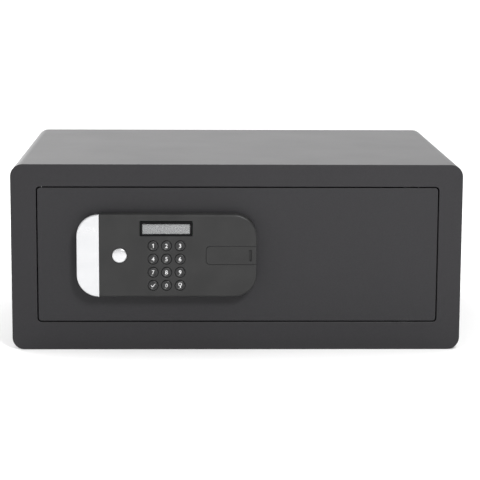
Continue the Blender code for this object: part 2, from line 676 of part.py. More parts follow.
def make_motor(metal, door):
    """A can motor that stands under the gearbox on its round boss."""
    boss, step, chamfer = 3.0, 2.0, 1.0
    profile = [(0, 0), (boss, 0), (boss, step), (MOTOR_RADIUS - chamfer, step)]
    profile += [(MOTOR_RADIUS, step + chamfer), (MOTOR_RADIUS, MOTOR_LENGTH - chamfer)]
    profile += [(MOTOR_RADIUS - chamfer, MOTOR_LENGTH), (0, MOTOR_LENGTH)]
    mesh = turned_mesh("motor", profile, metal, "Z", 24)
    place_mesh("motor", mesh, door, (MOTOR_X, y_at(MOTOR_DEPTH), GEARBOX[2] - GAP - MOTOR_LENGTH))


# ---------------------------------------------------------------- override lock
def make_lock_cylinder(metal, door):
    """The fixed barrel, with a flange on the door's face and a bore for the turning plug."""
    bore = PLUG_RADIUS + GAP
    profile = [(bore, CYLINDER_FRONT), (CYLINDER_RADIUS, CYLINDER_FRONT)]
    profile += [(CYLINDER_RADIUS, FLANGE_FRONT), (FLANGE_RADIUS, FLANGE_FRONT)]
    profile += [(FLANGE_RADIUS, -GAP), (CYLINDER_RADIUS, -GAP)]
    profile += [(CYLINDER_RADIUS, CYLINDER_BACK), (bore, CYLINDER_BACK)]
    mesh = turned_mesh("lock_cylinder", profile, metal, "Y", 28, ring=True)
    place_mesh("lock_cylinder", mesh, door, (LOCK_X, y_at(0), LOCK_Z))


def make_cylinder_nut(metal, door):
    hexagon = circle(LOCK_X, LOCK_Z, NUT_HALF_ACROSS / math.cos(math.pi / 6), 6)
    bore = circle(LOCK_X, LOCK_Z, CYLINDER_RADIUS + GAP, 28)
    span = (y_at(DOOR_BACK), y_at(DOOR_BACK + NUT_THICK))
    prism("cylinder_nut", hexagon, span, metal, door, holes=(bore,))


def make_key_plug(metal, plug):
    """The turning plug with its keyway and, at the back, the cam that draws the carriage."""
    profile = [(0, PLUG_FRONT), (PLUG_RADIUS, PLUG_FRONT), (PLUG_RADIUS, PLUG_BACK), (0, PLUG_BACK)]
    mesh = turned_mesh("key_plug", profile, metal, "Y", 24)
    piece = place_mesh("key_plug", mesh, plug, (LOCK_X, y_at(0), LOCK_Z))
    root, tip = PLUG_RADIUS + 1.0, 4.0
    cam = arc(LOCK_X, LOCK_Z, root, 180, 360, 6)
    cam += arc(LOCK_X, LOCK_Z + CAM_LENGTH - tip, tip, 0, 180, 6)
    cam_span = (y_at(PLUG_BACK - 0.5), y_at(PLUG_BACK + CAM_THICK))
    boolean(piece, prism("cam_tool", cam, cam_span, metal, None), "UNION")
    keyway = rectangle(
        LOCK_X - KEYWAY_HALF_WIDTH, LOCK_X + KEYWAY_HALF_WIDTH,
        LOCK_Z - KEYWAY_HALF_HEIGHT, LOCK_Z + KEYWAY_HALF_HEIGHT)
    keyway_span = (y_at(PLUG_FRONT - 1), y_at(PLUG_FRONT + KEYWAY_DEPTH))
    boolean(piece, prism("keyway_cutter", keyway, keyway_span, metal, None))


def make_keyhole_cap(chrome, cap):
    """The domed round cap over the keyhole, with a short spigot behind it."""
    front = -HOUSING_PROUD - CAP_PROUD
    rim_back, spigot_back, spigot_radius = -12.4, -10.0, 6.0
    profile = [(0, front), (4.5, front + 0.15), (6.8, front + 0.5), (CAP_RADIUS, front + 1.4)]
    profile += [(CAP_RADIUS, rim_back), (spigot_radius, rim_back)]
    profile += [(spigot_radius, spigot_back), (0, spigot_back)]
    mesh = turned_mesh("keyhole_cap", profile, chrome, "Y", 32)
    place_mesh("keyhole_cap", mesh, cap, (LOCK_X, y_at(0), LOCK_Z))


# ---------------------------------------------------------------- lock housing
def make_lock_housing(plastic, door):
    """The moulding on the door: a shell with windows for the display, keys, cap and cover."""
    front, rear = y_at(-HOUSING_PROUD), y_at(-GAP)
    outer = right_round_outline(GRIP_EDGE, HOUSING_RIGHT, HOUSING_LOW, HOUSING_HIGH, HOUSING_RADIUS)
    housing = prism("lock_housing", outer, (front, rear), plastic, door)
    wall = HOUSING_WALL
    inner = right_round_outline(
        GRIP_EDGE + wall, HOUSING_RIGHT - wall, HOUSING_LOW + wall, HOUSING_HIGH - wall,
        HOUSING_RADIUS - wall)
    boolean(housing, prism("housing_hollow_cutter", inner, (front + wall, rear + 1), plastic, None))
    add_cover_pocket(housing, plastic)
    through = (front - 1, front + wall + 1)
    boolean(housing, prism("display_cutter", rectangle(*WINDOW), through, plastic, None))
    cut_cylinder(housing, "cap_cutter", CAP_RADIUS + GAP, through, (LOCK_X, LOCK_Z), "Y", 32)
    for names, z in zip(KEY_NAMES, KEY_ROWS):
        for name, x in zip(names, KEY_COLUMNS):
            cut_cylinder(housing, name + "_cutter", KEY_HOLE_RADIUS, through, (x, z), "Y", 16)


def add_cover_pocket(housing, plastic):
    """The sunk track for the service cover, with an undercut for its lips and the socket's hole."""
    front = y_at(-HOUSING_PROUD)
    floor = front + COVER_THICK + GAP
    lip, undercut, floor_thick, block_edge = COVER_LIP + GAP, 1.3, 1.5, 4.0
    past = HOUSING_RIGHT + 8
    block = rectangle(
        COVER_LEFT - block_edge, HOUSING_RIGHT - 1, COVER_LOW - block_edge, COVER_HIGH + block_edge)
    block_span = (front + 1, floor + floor_thick)
    boolean(housing, prism("pocket_block_tool", block, block_span, plastic, None), "UNION")
    upper = rounded_rectangle(COVER_LEFT - GAP, past, COVER_LOW - GAP, COVER_HIGH + GAP, COVER_RADIUS)
    boolean(housing, prism("pocket_cutter", upper, (front - 1, floor), plastic, None))
    lower = rounded_rectangle(
        COVER_LEFT - lip, past, COVER_LOW - lip, COVER_HIGH + lip, COVER_RADIUS + COVER_LIP)
    boolean(housing, prism("undercut_cutter", lower, (floor - undercut, floor), plastic, None))
    x, z = SOCKET_CENTRE
    half_width, half_height = SOCKET_HALF_WIDTH + GAP, SOCKET_HALF_HEIGHT + GAP
    hole = rectangle(x - half_width, x + half_width, z - half_height, z + half_height)
    boolean(housing, prism("socket_cutter", hole, (floor - 1, floor + 3), plastic, None))


def make_service_cover(plastic, slide):
    """The cover that slides off to the right, with side lips and a finger-nail slot."""
    front = y_at(-HOUSING_PROUD)
    back = front + COVER_THICK
    past, lip_thick = HOUSING_RIGHT + 6, 0.7
    face = rounded_rectangle(COVER_LEFT, past, COVER_LOW, COVER_HIGH, COVER_RADIUS)
    cover = prism("service_cover", face, (front, back), plastic, slide)
    lips = rounded_rectangle(
        COVER_LEFT - COVER_LIP, past, COVER_LOW - COVER_LIP, COVER_HIGH + COVER_LIP,
        COVER_RADIUS + COVER_LIP)
    boolean(cover, prism("cover_lip_tool", lips, (back - lip_thick, back), plastic, None), "UNION")
    trim = rectangle(HOUSING_RIGHT, past + 3, COVER_LOW - 3, COVER_HIGH + 3)
    boolean(cover, prism("cover_trim_cutter", trim, (front - 1, back + 2), plastic, None))
    nail_span = (front - 1, front + NAIL_DEPTH)
    boolean(cover, prism("nail_slot_cutter", rectangle(*NAIL_SLOT), nail_span, plastic, None))


def make_chrome_grip(chrome, door):
    """The bright pull: a D-shaped plate on an upright web, with room for fingers behind it."""
    front = y_at(-HOUSING_PROUD)
    right = GRIP_EDGE - GAP
    outline = left_round_outline(HOUSING_LEFT, right, HOUSING_LOW, HOUSING_HIGH)
    grip = prism("chrome_grip", outline, (front, front + GRIP_THICK), chrome, door)
    web = rectangle(right - GRIP_WEB, right, HOUSING_LOW + 1.5, HOUSING_HIGH - 1.5)
    web_span = (front + GRIP_THICK - 1, y_at(-GAP))
    boolean(grip, prism("grip_web_tool", web, web_span, chrome, None), "UNION")


def make_display(glass, grey, door):
    """The clear window, set back a little in the housing, and the display behind it."""
    left, right, low, high = WINDOW
    lens = rectangle(left + GAP, right - GAP, low + GAP, high - GAP)
    front = -HOUSING_PROUD + 0.5
    lens_thick, panel_back = 1.5, -9.1
    prism("display_lens", lens, (y_at(front), y_at(front + lens_thick)), glass, door)
    panel = rectangle(left + 1.5, right - 1.5, low + 1.2, high - 2.4)
    panel_span = (y_at(front + lens_thick + GAP), y_at(panel_back))
    prism("lcd_panel", panel, panel_span, grey, door)


def make_keypad(silicone, board, door):
    """The rubber mat under the keys and the circuit board behind it."""
    mat = rounded_rectangle(*KEYPAD_MAT, 2.0, 2)
    prism("keypad_membrane", mat, (y_at(-10.1), y_at(-9.1)), silicone, door)
    prism("keypad_board", rectangle(*KEYPAD_BOARD), (y_at(-8.8), y_at(-7.2)), board, door)


def make_power_socket(plastic, door):
    """The emergency power socket that shows when the service cover is off."""
    x, z = SOCKET_CENTRE
    front = -HOUSING_PROUD + COVER_THICK + GAP + 0.4
    outline = rounded_rectangle(
        x - SOCKET_HALF_WIDTH, x + SOCKET_HALF_WIDTH,
        z - SOCKET_HALF_HEIGHT, z + SOCKET_HALF_HEIGHT, 1.0, 2)
    mouth_width, mouth_height, mouth_back = 4.2, 1.6, -4.0
    mouth = rounded_rectangle(
        x - mouth_width, x + mouth_width, z - mouth_height, z + mouth_height, 0.8, 2)
    socket = prism("power_socket", outline, (y_at(front), y_at(-GAP)), plastic, door)
    mouth_span = (y_at(front - 1), y_at(mouth_back))
    boolean(socket, prism("socket_mouth_cutter", mouth, mouth_span, plastic, None))


def make_keys(plastic):
    """Twelve round keys that share one mesh, each on its own empty."""
    back = 3.4
    profile = [(0, -KEY_PROUD), (KEY_RADIUS - 0.5, -KEY_PROUD), (KEY_RADIUS, -KEY_PROUD + 0.5)]
    profile += [(KEY_RADIUS, HOUSING_WALL + GAP), (KEY_FLANGE_RADIUS, HOUSING_WALL + GAP)]
    profile += [(KEY_FLANGE_RADIUS, back), (0, back)]
    mesh = turned_mesh("key", profile, plastic, "Y", 16)
    for names, z in zip(KEY_NAMES, KEY_ROWS):
        for name, x in zip(names, KEY_COLUMNS):
            place_mesh(name, mesh, None, (x, y_at(-HOUSING_PROUD), z))


# ---------------------------------------------------------------- electrics behind the liner
def make_control_board(board, door):
    """The board on four posts, with a relay and two connectors joined to it."""
    left, right, low, high = BOARD
    span = (y_at(BOARD_FRONT), y_at(BOARD_BACK))
    plate = prism("control_board", rectangle(*BOARD), span, board, door)
    inset = BOARD_POST_INSET
    corners = [(x, z) for x in (left + inset, right - inset) for z in (low + inset, high - inset)]
    post_span = (y_at(DOOR_BACK), y_at((BOARD_FRONT + BOARD_BACK) / 2))
    for number, (x, z) in enumerate(corners):
        outline = circle(x, z, BOARD_POST_RADIUS, 10)
        post = prism(f"board_post_tool_{number}", outline, post_span, board, None)
        boolean(plate, post, "UNION")
    blocks = {
        "relay_tool": (-14.0, 2.0, 78.0, 94.0, 39.0),
        "left_plug_tool": (-29.0, -22.0, 84.0, 98.0, 40.0),
        "right_plug_tool": (22.0, 29.0, 96.0, 112.0, 40.0),
    }
    for name, (*outline, depth) in blocks.items():
        block_span = (y_at(BOARD_FRONT + 1.0), y_at(depth))
        block = prism(name, rectangle(*outline), block_span, board, None)
        boolean(plate, block, "UNION")


def make_battery_box(plastic, door):
    """A moulding hollow on both sides: the cells lie in the rear tub, the front is cored out."""
    left, right, low, high = BATTERY
    edge = 2.0
    inner = edge + BATTERY_WALL
    box_back, core_back, tub_front = 43.0, 24.0, 25.5
    outline = rectangle(left + edge, right - edge, low + edge, high - edge)
    box = prism("battery_box", outline, (y_at(DOOR_BACK), y_at(box_back)), plastic, door)
    inside = rectangle(left + inner, right - inner, low + inner, high - inner)
    core_span = (y_at(DOOR_BACK - 1), y_at(core_back))
    tub_span = (y_at(tub_front), y_at(box_back + 1))
    boolean(box, prism("battery_core_cutter", inside, core_span, plastic, None))
    boolean(box, prism("battery_tub_cutter", inside, tub_span, plastic, None))


def make_battery_cells(skin, door):
    """Four cells side by side, joined along their sides into one body."""
    left, right, low, high = BATTERY
    start = (left + right) / 2 - 1.5 * CELL_PITCH
    bottom = (low + high - CELL_LENGTH) / 2
    profile = [(0, 0), (CELL_RADIUS, 0), (CELL_RADIUS, CELL_LENGTH), (0, CELL_LENGTH)]
    mesh = turned_mesh("battery_cells", profile, skin, "Z", 20)
    places = [(start + number * CELL_PITCH, y_at(CELL_DEPTH), bottom) for number in range(4)]
    cells = place_mesh("battery_cells", mesh, door, places[0])
    for number, place in enumerate(places[1:], start=1):
        boolean(cells, place_mesh(f"cell_tool_{number}", mesh, None, place), "UNION")


def make_battery_cover(plastic, lid):
    """The flat cover in the liner, with a recess for a thumb."""
    left, right, low, high = BATTERY
    outline = rectangle(left + GAP, right - GAP, low + GAP, high - GAP)
    cover_span = (y_at(LINER_BACK - LINER_WALL), y_at(LINER_BACK))
    cover = prism("battery_cover", outline, cover_span, plastic, lid)
    middle, half_width, recess = (left + right) / 2, 9.0, 0.8
    thumb = slot_outline(middle - half_width, middle + half_width, high - 8.0, 2.5, 5)
    thumb_span = (y_at(LINER_BACK - recess), y_at(LINER_BACK + 1))
    boolean(cover, prism("thumb_slot_cutter", thumb, thumb_span, plastic, None))


def make_reset_button(plastic):
    """The code-reset button in the liner; it is pushed towards the door."""
    stem, collar, head = 2.0, 4.5, 3.0
    stem_front, collar_front, collar_back, proud = -9.0, -4.0, -LINER_WALL - GAP, 1.1
    profile = [(0, stem_front), (stem, stem_front), (stem, collar_front), (collar, collar_front)]
    profile += [(collar, collar_back), (head, collar_back)]
    profile += [(head, proud - 0.4), (head - 0.4, proud), (0, proud)]
    mesh = turned_mesh("reset_button", profile, plastic, "Y", 16)
    place_mesh("reset_button", mesh, None, (RESET_X, y_at(LINER_BACK), RESET_Z))


def make_leads(skin, door):
    """Three held leads on the board: from the motor, from the batteries and from the keypad."""
    plug_y = y_at(PLUG_DEPTH)
    motor_route = [(-72.0, y_at(17.0), 71.2), (-72.0, y_at(17.0), 67.0), (-66.0, y_at(19.0), 61.5)]
    motor_route += [(-52.0, y_at(27.0), 64.0), (-43.0, y_at(35.0), 78.0), (-38.0, plug_y, 88.0)]
    motor_route += [(-33.5, plug_y, 90.5), (-29.5, plug_y, 90.5)]
    lead("motor_lead", motor_route, 1.2, skin, door)
    battery_route = [(41.6, y_at(31.0), 116.0), (38.5, y_at(31.0), 116.0), (36.5, y_at(33.5), 111.0)]
    battery_route += [(35.0, y_at(36.5), 106.0), (32.5, plug_y, 104.0), (29.5, plug_y, 104.0)]
    lead("battery_lead", battery_route, 1.2, skin, door)
    keypad_route = [(-40.0, y_at(-6.8), 105.0), (-40.0, y_at(-2.0), 105.0), (-39.0, y_at(8.0), 105.0)]
    keypad_route += [(-40.0, y_at(22.0), 103.0), (-40.0, y_at(32.0), 99.0), (-37.0, plug_y, 96.0)]
    keypad_route += [(-33.5, plug_y, 95.0), (-29.5, plug_y, 95.0)]
    lead("keypad_cable", keypad_route, 1.6, skin, door)


# ---------------------------------------------------------------- assembly
def make_cabinet(looks):
    paint = looks["body_paint"]
    make_body_shell(paint)
    make_front_frame(paint)
    make_back_panel(paint)
    make_floor_mat(looks["felt"])
    make_hinge_bracket("hinge_bracket_upper", UPPER_BRACKET_Z, UPPER_FLANGE_Z, paint)
    lower_leg = LOWER_BRACKET_Z - BRACKET_THICK
    make_hinge_bracket("hinge_bracket_lower", lower_leg, LOWER_FLANGE_Z, paint)
    make_thrust_washer(looks["zinc"])
    make_bolt_strike(paint)


def make_door(looks, door):
    make_door_plate(looks["door_paint"], door)
    make_hinge_knuckle("hinge_knuckle_upper", UPPER_KNUCKLE, looks["door_paint"], door)
    make_hinge_knuckle("hinge_knuckle_lower", LOWER_KNUCKLE, looks["door_paint"], door)
    make_hinge_pins(looks["zinc"], door)
    make_dog_bar(looks["door_paint"], door)
    make_door_cover(looks["door_paint"], door)
    make_cover_screws(looks["zinc"], door)
    make_lock_housing(looks["black_plastic"], door)
    make_chrome_grip(looks["chrome"], door)
    make_display(looks["clear_plastic"], looks["lcd_grey"], door)
    make_keypad(looks["silicone"], looks["circuit_green"], door)
    make_power_socket(looks["gloss_plastic"], door)
    make_control_board(looks["circuit_green"], door)
    make_battery_box(looks["black_plastic"], door)
    make_battery_cells(looks["battery_skin"], door)
    make_leads(looks["lead_skin"], door)


def make_bolt_work(looks, door, slide, pinion):
    make_bolt_guide(looks["zinc"], door)
    make_guide_posts(looks["zinc"], door)
    make_gearbox(looks["black_plastic"], looks["zinc"], door)
    make_motor(looks["zinc"], door)
    make_bolt_carriage(looks["zinc"], slide)
    make_bolts(looks["zinc"], slide)
    make_drive_pinion(looks["brass"], pinion)


def make_override_lock(looks, door, plug, cap):
    make_lock_cylinder(looks["zinc"], door)
    make_cylinder_nut(looks["brass"], door)
    make_key_plug(looks["brass"], plug)
    make_keyhole_cap(looks["chrome"], cap)


def build():
    clear_scene()
    looks = make_materials()
    hinge_y = y_at(HINGE_DEPTH)
    door = joint_empty("door_axis", (HINGE_X, hinge_y, 0))
    slide = joint_empty("bolt_slide_axis", (CARRIAGE_LEFT, y_at(BOLT_DEPTH), LOCK_Z))
    pinion = joint_empty("pinion_axis", (PINION_X, y_at(CARRIAGE_DEPTH), PINION_Z))
    plug = joint_empty("plug_axis", (LOCK_X, y_at(0), LOCK_Z))
    cap = joint_empty("cap_axis", (LOCK_X, y_at(-HOUSING_PROUD), LOCK_Z))
    cover = joint_empty("service_cover_axis", (COVER_LEFT, y_at(-HOUSING_PROUD), LOCK_Z))
    battery_x, battery_z = (BATTERY[0] + BATTERY[1]) / 2, (BATTERY[2] + BATTERY[3]) / 2
    lid = joint_empty("battery_cover_axis", (battery_x, y_at(LINER_BACK), battery_z))
    make_cabinet(looks)
    make_door(looks, door)
    make_bolt_work(looks, door, slide, pinion)
    make_override_lock(looks, door, plug, cap)
    make_service_cover(looks["black_plastic"], cover)
    make_battery_cover(looks["black_plastic"], lid)
    make_reset_button(looks["red_plastic"])
    make_keys(looks["key_plastic"])


build()
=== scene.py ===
"""A wide, low in-room safe: charcoal powder-coated steel, a black lock housing and a bright pull.

Everything is in metres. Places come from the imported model's boxes, and the sizes that the boxes
can't give are named values in millimetres times MM. A depth is measured from the frame's face,
positive into the cabinet.
"""
import math

import bmesh
import bpy
from mathutils import Matrix, Vector


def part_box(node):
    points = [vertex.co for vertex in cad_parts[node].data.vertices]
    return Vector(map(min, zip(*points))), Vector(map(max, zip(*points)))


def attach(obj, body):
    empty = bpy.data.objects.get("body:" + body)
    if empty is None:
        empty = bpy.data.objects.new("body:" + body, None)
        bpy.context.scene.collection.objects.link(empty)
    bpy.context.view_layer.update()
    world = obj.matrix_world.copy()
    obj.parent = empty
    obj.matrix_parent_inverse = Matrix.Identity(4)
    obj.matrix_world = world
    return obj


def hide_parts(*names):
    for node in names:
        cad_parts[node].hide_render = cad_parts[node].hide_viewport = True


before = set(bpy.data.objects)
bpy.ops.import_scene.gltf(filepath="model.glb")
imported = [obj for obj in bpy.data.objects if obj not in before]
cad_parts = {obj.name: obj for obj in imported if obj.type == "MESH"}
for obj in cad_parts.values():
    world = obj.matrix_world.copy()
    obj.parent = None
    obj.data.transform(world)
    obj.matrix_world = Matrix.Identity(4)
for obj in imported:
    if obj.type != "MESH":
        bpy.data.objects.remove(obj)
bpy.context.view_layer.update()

MM = 0.001
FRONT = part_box("front_frame")[0].y
CLEARANCE = 0.3 * MM


def at(x, depth, z):
    """A point from millimetres: x, depth behind the frame's face and height."""
    return Vector((x * MM, FRONT + depth * MM, z * MM))


def centre_of(node):
    low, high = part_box(node)
    return (low + high) / 2


def centre_at(node, y):
    """A node's middle, brought to a place along Y."""
    middle = centre_of(node)
    return Vector((middle.x, y, middle.z))


# ------------------------------------------------------------------ sizes that the boxes don't give
SHEET = 3 * MM
CORNER = 13 * MM
DOOR_GAP = 1.6 * MM
PAINT_BUILD = 0.22 * MM
OPENING_CORNER = 4 * MM
ANCHOR_RADIUS = 5 * MM
FLOOR_ANCHORS = (at(-150, 250, 0), at(150, 250, 0))
BOLT_HOLE = 10.8 * MM
HOUSING_CORNER = 24 * MM
HOUSING_WALL = 2 * MM
HOUSING_FILLET = 2.4 * MM
COVER_LIP = 1 * MM
COVER_CORNER = 4 * MM
KEY_HOLE = 5.7 * MM
LINER_WALL = 1.5 * MM
LINER_CORNER = 4 * MM
PLUG_WELDS = (0.2, 0.5, 0.8)
LEGEND_THICK = 0.12 * MM
KEY_NODES = [f"key_{number}" for number in range(1, 10)] + ["key_enter", "key_0", "key_code"]
BAND_HEIGHT = 112 * MM
BOARD_FACE = 34.8
CHIPS = ((-12, 122, 12, 8), (8, 124, 7, 5), (12, 84, 5, 9), (-20, 112, 4, 4))

# ------------------------------------------------------------------ stage, light and camera
CAMERA_PLACE = Vector((-0.04504, -2.05463, 0.43613))
CAMERA_TURN = -0.02567
CAMERA_TILT = 0.16699
CAMERA_ROLL = 0.00507
CAMERA_LENS = 134.34
BRIGHT_SIDE_TURN = math.radians(-32)
DIMMEST, BRIGHTEST = 0.2, 2.0


def make_camera():
    data = bpy.data.cameras.new("camera")
    data.lens = CAMERA_LENS
    data.sensor_width = 36.0
    data.clip_end = 100.0
    camera = bpy.data.objects.new("camera", data)
    bpy.context.scene.collection.objects.link(camera)
    turn = Matrix.Rotation(CAMERA_TURN, 4, "Z")
    tilt = Matrix.Rotation(math.pi / 2 - CAMERA_TILT, 4, "X")
    roll = Matrix.Rotation(CAMERA_ROLL, 4, "Z")
    camera.matrix_world = Matrix.Translation(CAMERA_PLACE) @ turn @ tilt @ roll
    bpy.context.scene.camera = camera


def make_studio():
    """A white surround, brightest behind on the left and dimmest on the camera's side."""
    world = bpy.data.worlds.new("studio")
    world.use_nodes = True
    bpy.context.scene.world = world
    tree = world.node_tree
    background = tree.nodes["Background"]
    direction = node(tree, "TexCoord").outputs["Generated"]
    turned_round = node(tree, "Mapping", {"Vector": direction}, rotation=(0, 0, BRIGHT_SIDE_TURN))
    behind = node(tree, "SeparateXYZ", {"Vector": turned_round.outputs["Vector"]}).outputs["Y"]
    feed(tree, background.inputs["Strength"], spread(tree, behind, DIMMEST, BRIGHTEST, -1.0, 1.0))
    background.inputs["Color"].default_value = (1.0, 1.0, 1.0, 1.0)
    bpy.context.scene.view_settings.view_transform = "Standard"


def make_lamp(name, place, target, size, power):
    data = bpy.data.lights.new(name, "AREA")
    data.shape = "DISK"
    data.size = size
    data.energy = power
    lamp = bpy.data.objects.new(name, data)
    bpy.context.scene.collection.objects.link(lamp)
    lamp.location = place
    lamp.rotation_euler = (Vector(target) - Vector(place)).to_track_quat("-Z", "Y").to_euler()


def make_floor():
    bpy.ops.mesh.primitive_plane_add(size=80)
    floor = bpy.context.object
    floor.name = "studio_floor"
    material = bpy.data.materials.new("studio_floor")
    material.use_nodes = True
    shader = material.node_tree.nodes["Principled BSDF"]
    shader.inputs["Base Color"].default_value = (0.93, 0.93, 0.93, 1.0)
    shader.inputs["Roughness"].default_value = 0.9
    shader.inputs["Specular IOR Level"].default_value = 0.1
    floor.data.materials.append(material)


# ------------------------------------------------------------------ material helpers
FINISHES = {}


def new_finish(name, colour, roughness, metallic=0.0):
    """A material under its slot's name, with its node tree and shader to build on."""
    material = bpy.data.materials.new(name)
    material.use_nodes = True
    FINISHES[name] = material
    tree = material.node_tree
    shader = tree.nodes["Principled BSDF"]
    shader.inputs["Base Color"].default_value = (*colour, 1.0)
    shader.inputs["Roughness"].default_value = roughness
    shader.inputs["Metallic"].default_value = metallic
    return tree, shader


def node(tree, kind, links=None, **values):
    """A node with its settings by attribute or socket name, and its inputs linked by name."""
    item = tree.nodes.new("ShaderNode" + kind)
    for name, value in values.items():
        if hasattr(item, name):
            setattr(item, name, value)
        else:
            item.inputs[name.replace("_", " ").title()].default_value = value
    for name, source in (links or {}).items():
        tree.links.new(source, item.inputs[name])
    return item


def places(tree, scale=(1, 1, 1), turn=(0, 0, 0)):
    """The object's own coordinates, stretched and turned."""
    own = node(tree, "TexCoord").outputs["Object"]
    return node(tree, "Mapping", {"Vector": own}, scale=scale, rotation=turn).outputs["Vector"]


def noise(tree, source, scale, detail=2.0, roughness=0.5):
    item = node(tree, "TexNoise", {"Vector": source}, scale=scale, detail=detail, roughness=roughness)
    return item.outputs["Fac"]


def spread(tree, value, low, high, start=0.3, stop=0.7):
    """A value between start and stop mapped to low and high, with the ends held."""
    ends = {"from_min": start, "from_max": stop, "to_min": low, "to_max": high}
    return node(tree, "MapRange", {"Value": value}, **ends).outputs["Result"]


def feed(tree, socket, value):
    """Link a socket to an output, or give it a fixed number or colour."""
    if isinstance(value, bpy.types.NodeSocket):
        tree.links.new(value, socket)
    elif isinstance(value, tuple):
        socket.default_value = (*value, 1.0)
    else:
        socket.default_value = value


def mix_colours(tree, factor, first, second):
    """A colour between two, each an (r, g, b) or an output."""
    item = node(tree, "Mix", data_type="RGBA")
    feed(tree, item.inputs["Factor"], factor)
    colours = [put for put in item.inputs if put.type == "RGBA"]
    feed(tree, colours[0], first)
    feed(tree, colours[1], second)
    return [put for put in item.outputs if put.type == "RGBA"][0]


def shade(colour, amount):
    return tuple(channel * amount for channel in colour)


def tinted(tree, value, colour, darkest, lightest):
    """A colour that drifts between two shades of itself."""
    return mix_colours(tree, spread(tree, value, 0, 1), shade(colour, darkest), shade(colour, lightest))


def dress(tree, shader, colour, roughness=None):
    """Link a varying colour, and a varying roughness, to the shader."""
    feed(tree, shader.inputs["Base Color"], colour)
    if roughness is not None:
        feed(tree, shader.inputs["Roughness"], roughness)


def add_bumps(tree, shader, layers):
    """Relief from (height, strength, distance) layers, coarse first."""
    normal = None
    for height, strength, distance in layers:
        links = {"Height": height}
        if normal is not None:
            links["Normal"] = normal
        normal = node(tree, "Bump", links, strength=strength, distance=distance).outputs["Normal"]
    tree.links.new(normal, shader.inputs["Normal"])


# ------------------------------------------------------------------ finishes
def powder_coat(name, colour, roughness):
    """Fine-textured powder paint: orange peel, a finer grain, slow drift and faint handling marks."""
    tree, shader = new_finish(name, colour, roughness)
    shader.inputs["Specular IOR Level"].default_value = 0.17
    own = places(tree)
    drift = noise(tree, own, 5.0, 3.0)
    grain = noise(tree, own, 1700.0, 1.0)
    peel = noise(tree, own, 620.0, 2.0)
    wipe = noise(tree, own, 14.0, 4.0, 0.6)
    slow = tinted(tree, drift, colour, 0.93, 1.07)
    fine = tinted(tree, grain, colour, 0.76, 1.22)
    polish = spread(tree, wipe, roughness - 0.012, roughness + 0.012)
    dress(tree, shader, mix_colours(tree, 0.5, slow, fine), polish)
    add_bumps(tree, shader, [(peel, 0.22, 0.12 * MM), (grain, 0.24, 0.04 * MM)])


def moulded_plastic(name, colour, roughness):
    """Injection-moulded plastic with a spark-eroded grain and slightly polished patches."""
    tree, shader = new_finish(name, colour, roughness)
    shader.inputs["Specular IOR Level"].default_value = 0.22
    own = places(tree)
    grain = noise(tree, own, 1900.0, 2.0, 0.6)
    cloud = noise(tree, own, 38.0, 3.0)
    polish = spread(tree, cloud, roughness - 0.05, roughness + 0.06)
    dress(tree, shader, tinted(tree, cloud, colour, 0.88, 1.14), polish)
    add_bumps(tree, shader, [(cloud, 0.05, 0.4 * MM), (grain, 0.22, 0.02 * MM)])


def polished_plastic(name, colour, roughness, specular=0.5):
    """Glossy plastic with fine hairlines and a trace of dust."""
    tree, shader = new_finish(name, colour, roughness)
    shader.inputs["Specular IOR Level"].default_value = specular
    hair = noise(tree, places(tree, (60, 60, 2600), (0, 0.5, 0)), 1.0, 3.0, 0.7)
    dust = noise(tree, places(tree), 3200.0, 1.0)
    specks = spread(tree, dust, 0, 1, 0.68, 0.78)
    polish = spread(tree, hair, roughness, roughness + 0.12, 0.5, 0.8)
    dress(tree, shader, mix_colours(tree, specks, colour, shade(colour, 1.9)), polish)
    add_bumps(tree, shader, [(hair, 0.04, 0.02 * MM)])


def chrome_plate(name):
    """Satin plating: soft reflections, faint haze from wiping and slight waviness."""
    colour = (0.61, 0.61, 0.62)
    tree, shader = new_finish(name, colour, 0.28, 1.0)
    haze = noise(tree, places(tree, (20, 20, 140), (0, 0.3, 0)), 1.0, 4.0, 0.6)
    wave = noise(tree, places(tree), 55.0, 1.0)
    hair = noise(tree, places(tree, (2400, 300, 60), (0, 0.2, 0)), 1.0, 2.0)
    clouded = mix_colours(tree, spread(tree, haze, 0, 1), colour, (0.585, 0.59, 0.60))
    dress(tree, shader, clouded, spread(tree, haze, 0.27, 0.30))
    add_bumps(tree, shader, [(wave, 0.008, 0.3 * MM), (hair, 0.03, 0.004 * MM)])


def plated_steel(name, colour, roughness):
    """Zinc-plated or machined steel: streaks, cloudy bloom and a few darker spots."""
    tree, shader = new_finish(name, colour, roughness, 1.0)
    streak = noise(tree, places(tree, (40, 40, 1500)), 1.0, 3.0, 0.7)
    bloom = noise(tree, places(tree), 70.0, 4.0, 0.6)
    spots = noise(tree, places(tree), 420.0, 2.0)
    cloudy = tinted(tree, bloom, colour, 0.8, 1.1)
    spotted = mix_colours(tree, spread(tree, spots, 0, 0.6, 0.66, 0.8), cloudy, shade(colour, 0.4))
    dress(tree, shader, spotted, spread(tree, bloom, roughness - 0.07, roughness + 0.12))
    add_bumps(tree, shader, [(streak, 0.12, 0.02 * MM), (spots, 0.06, 0.05 * MM)])


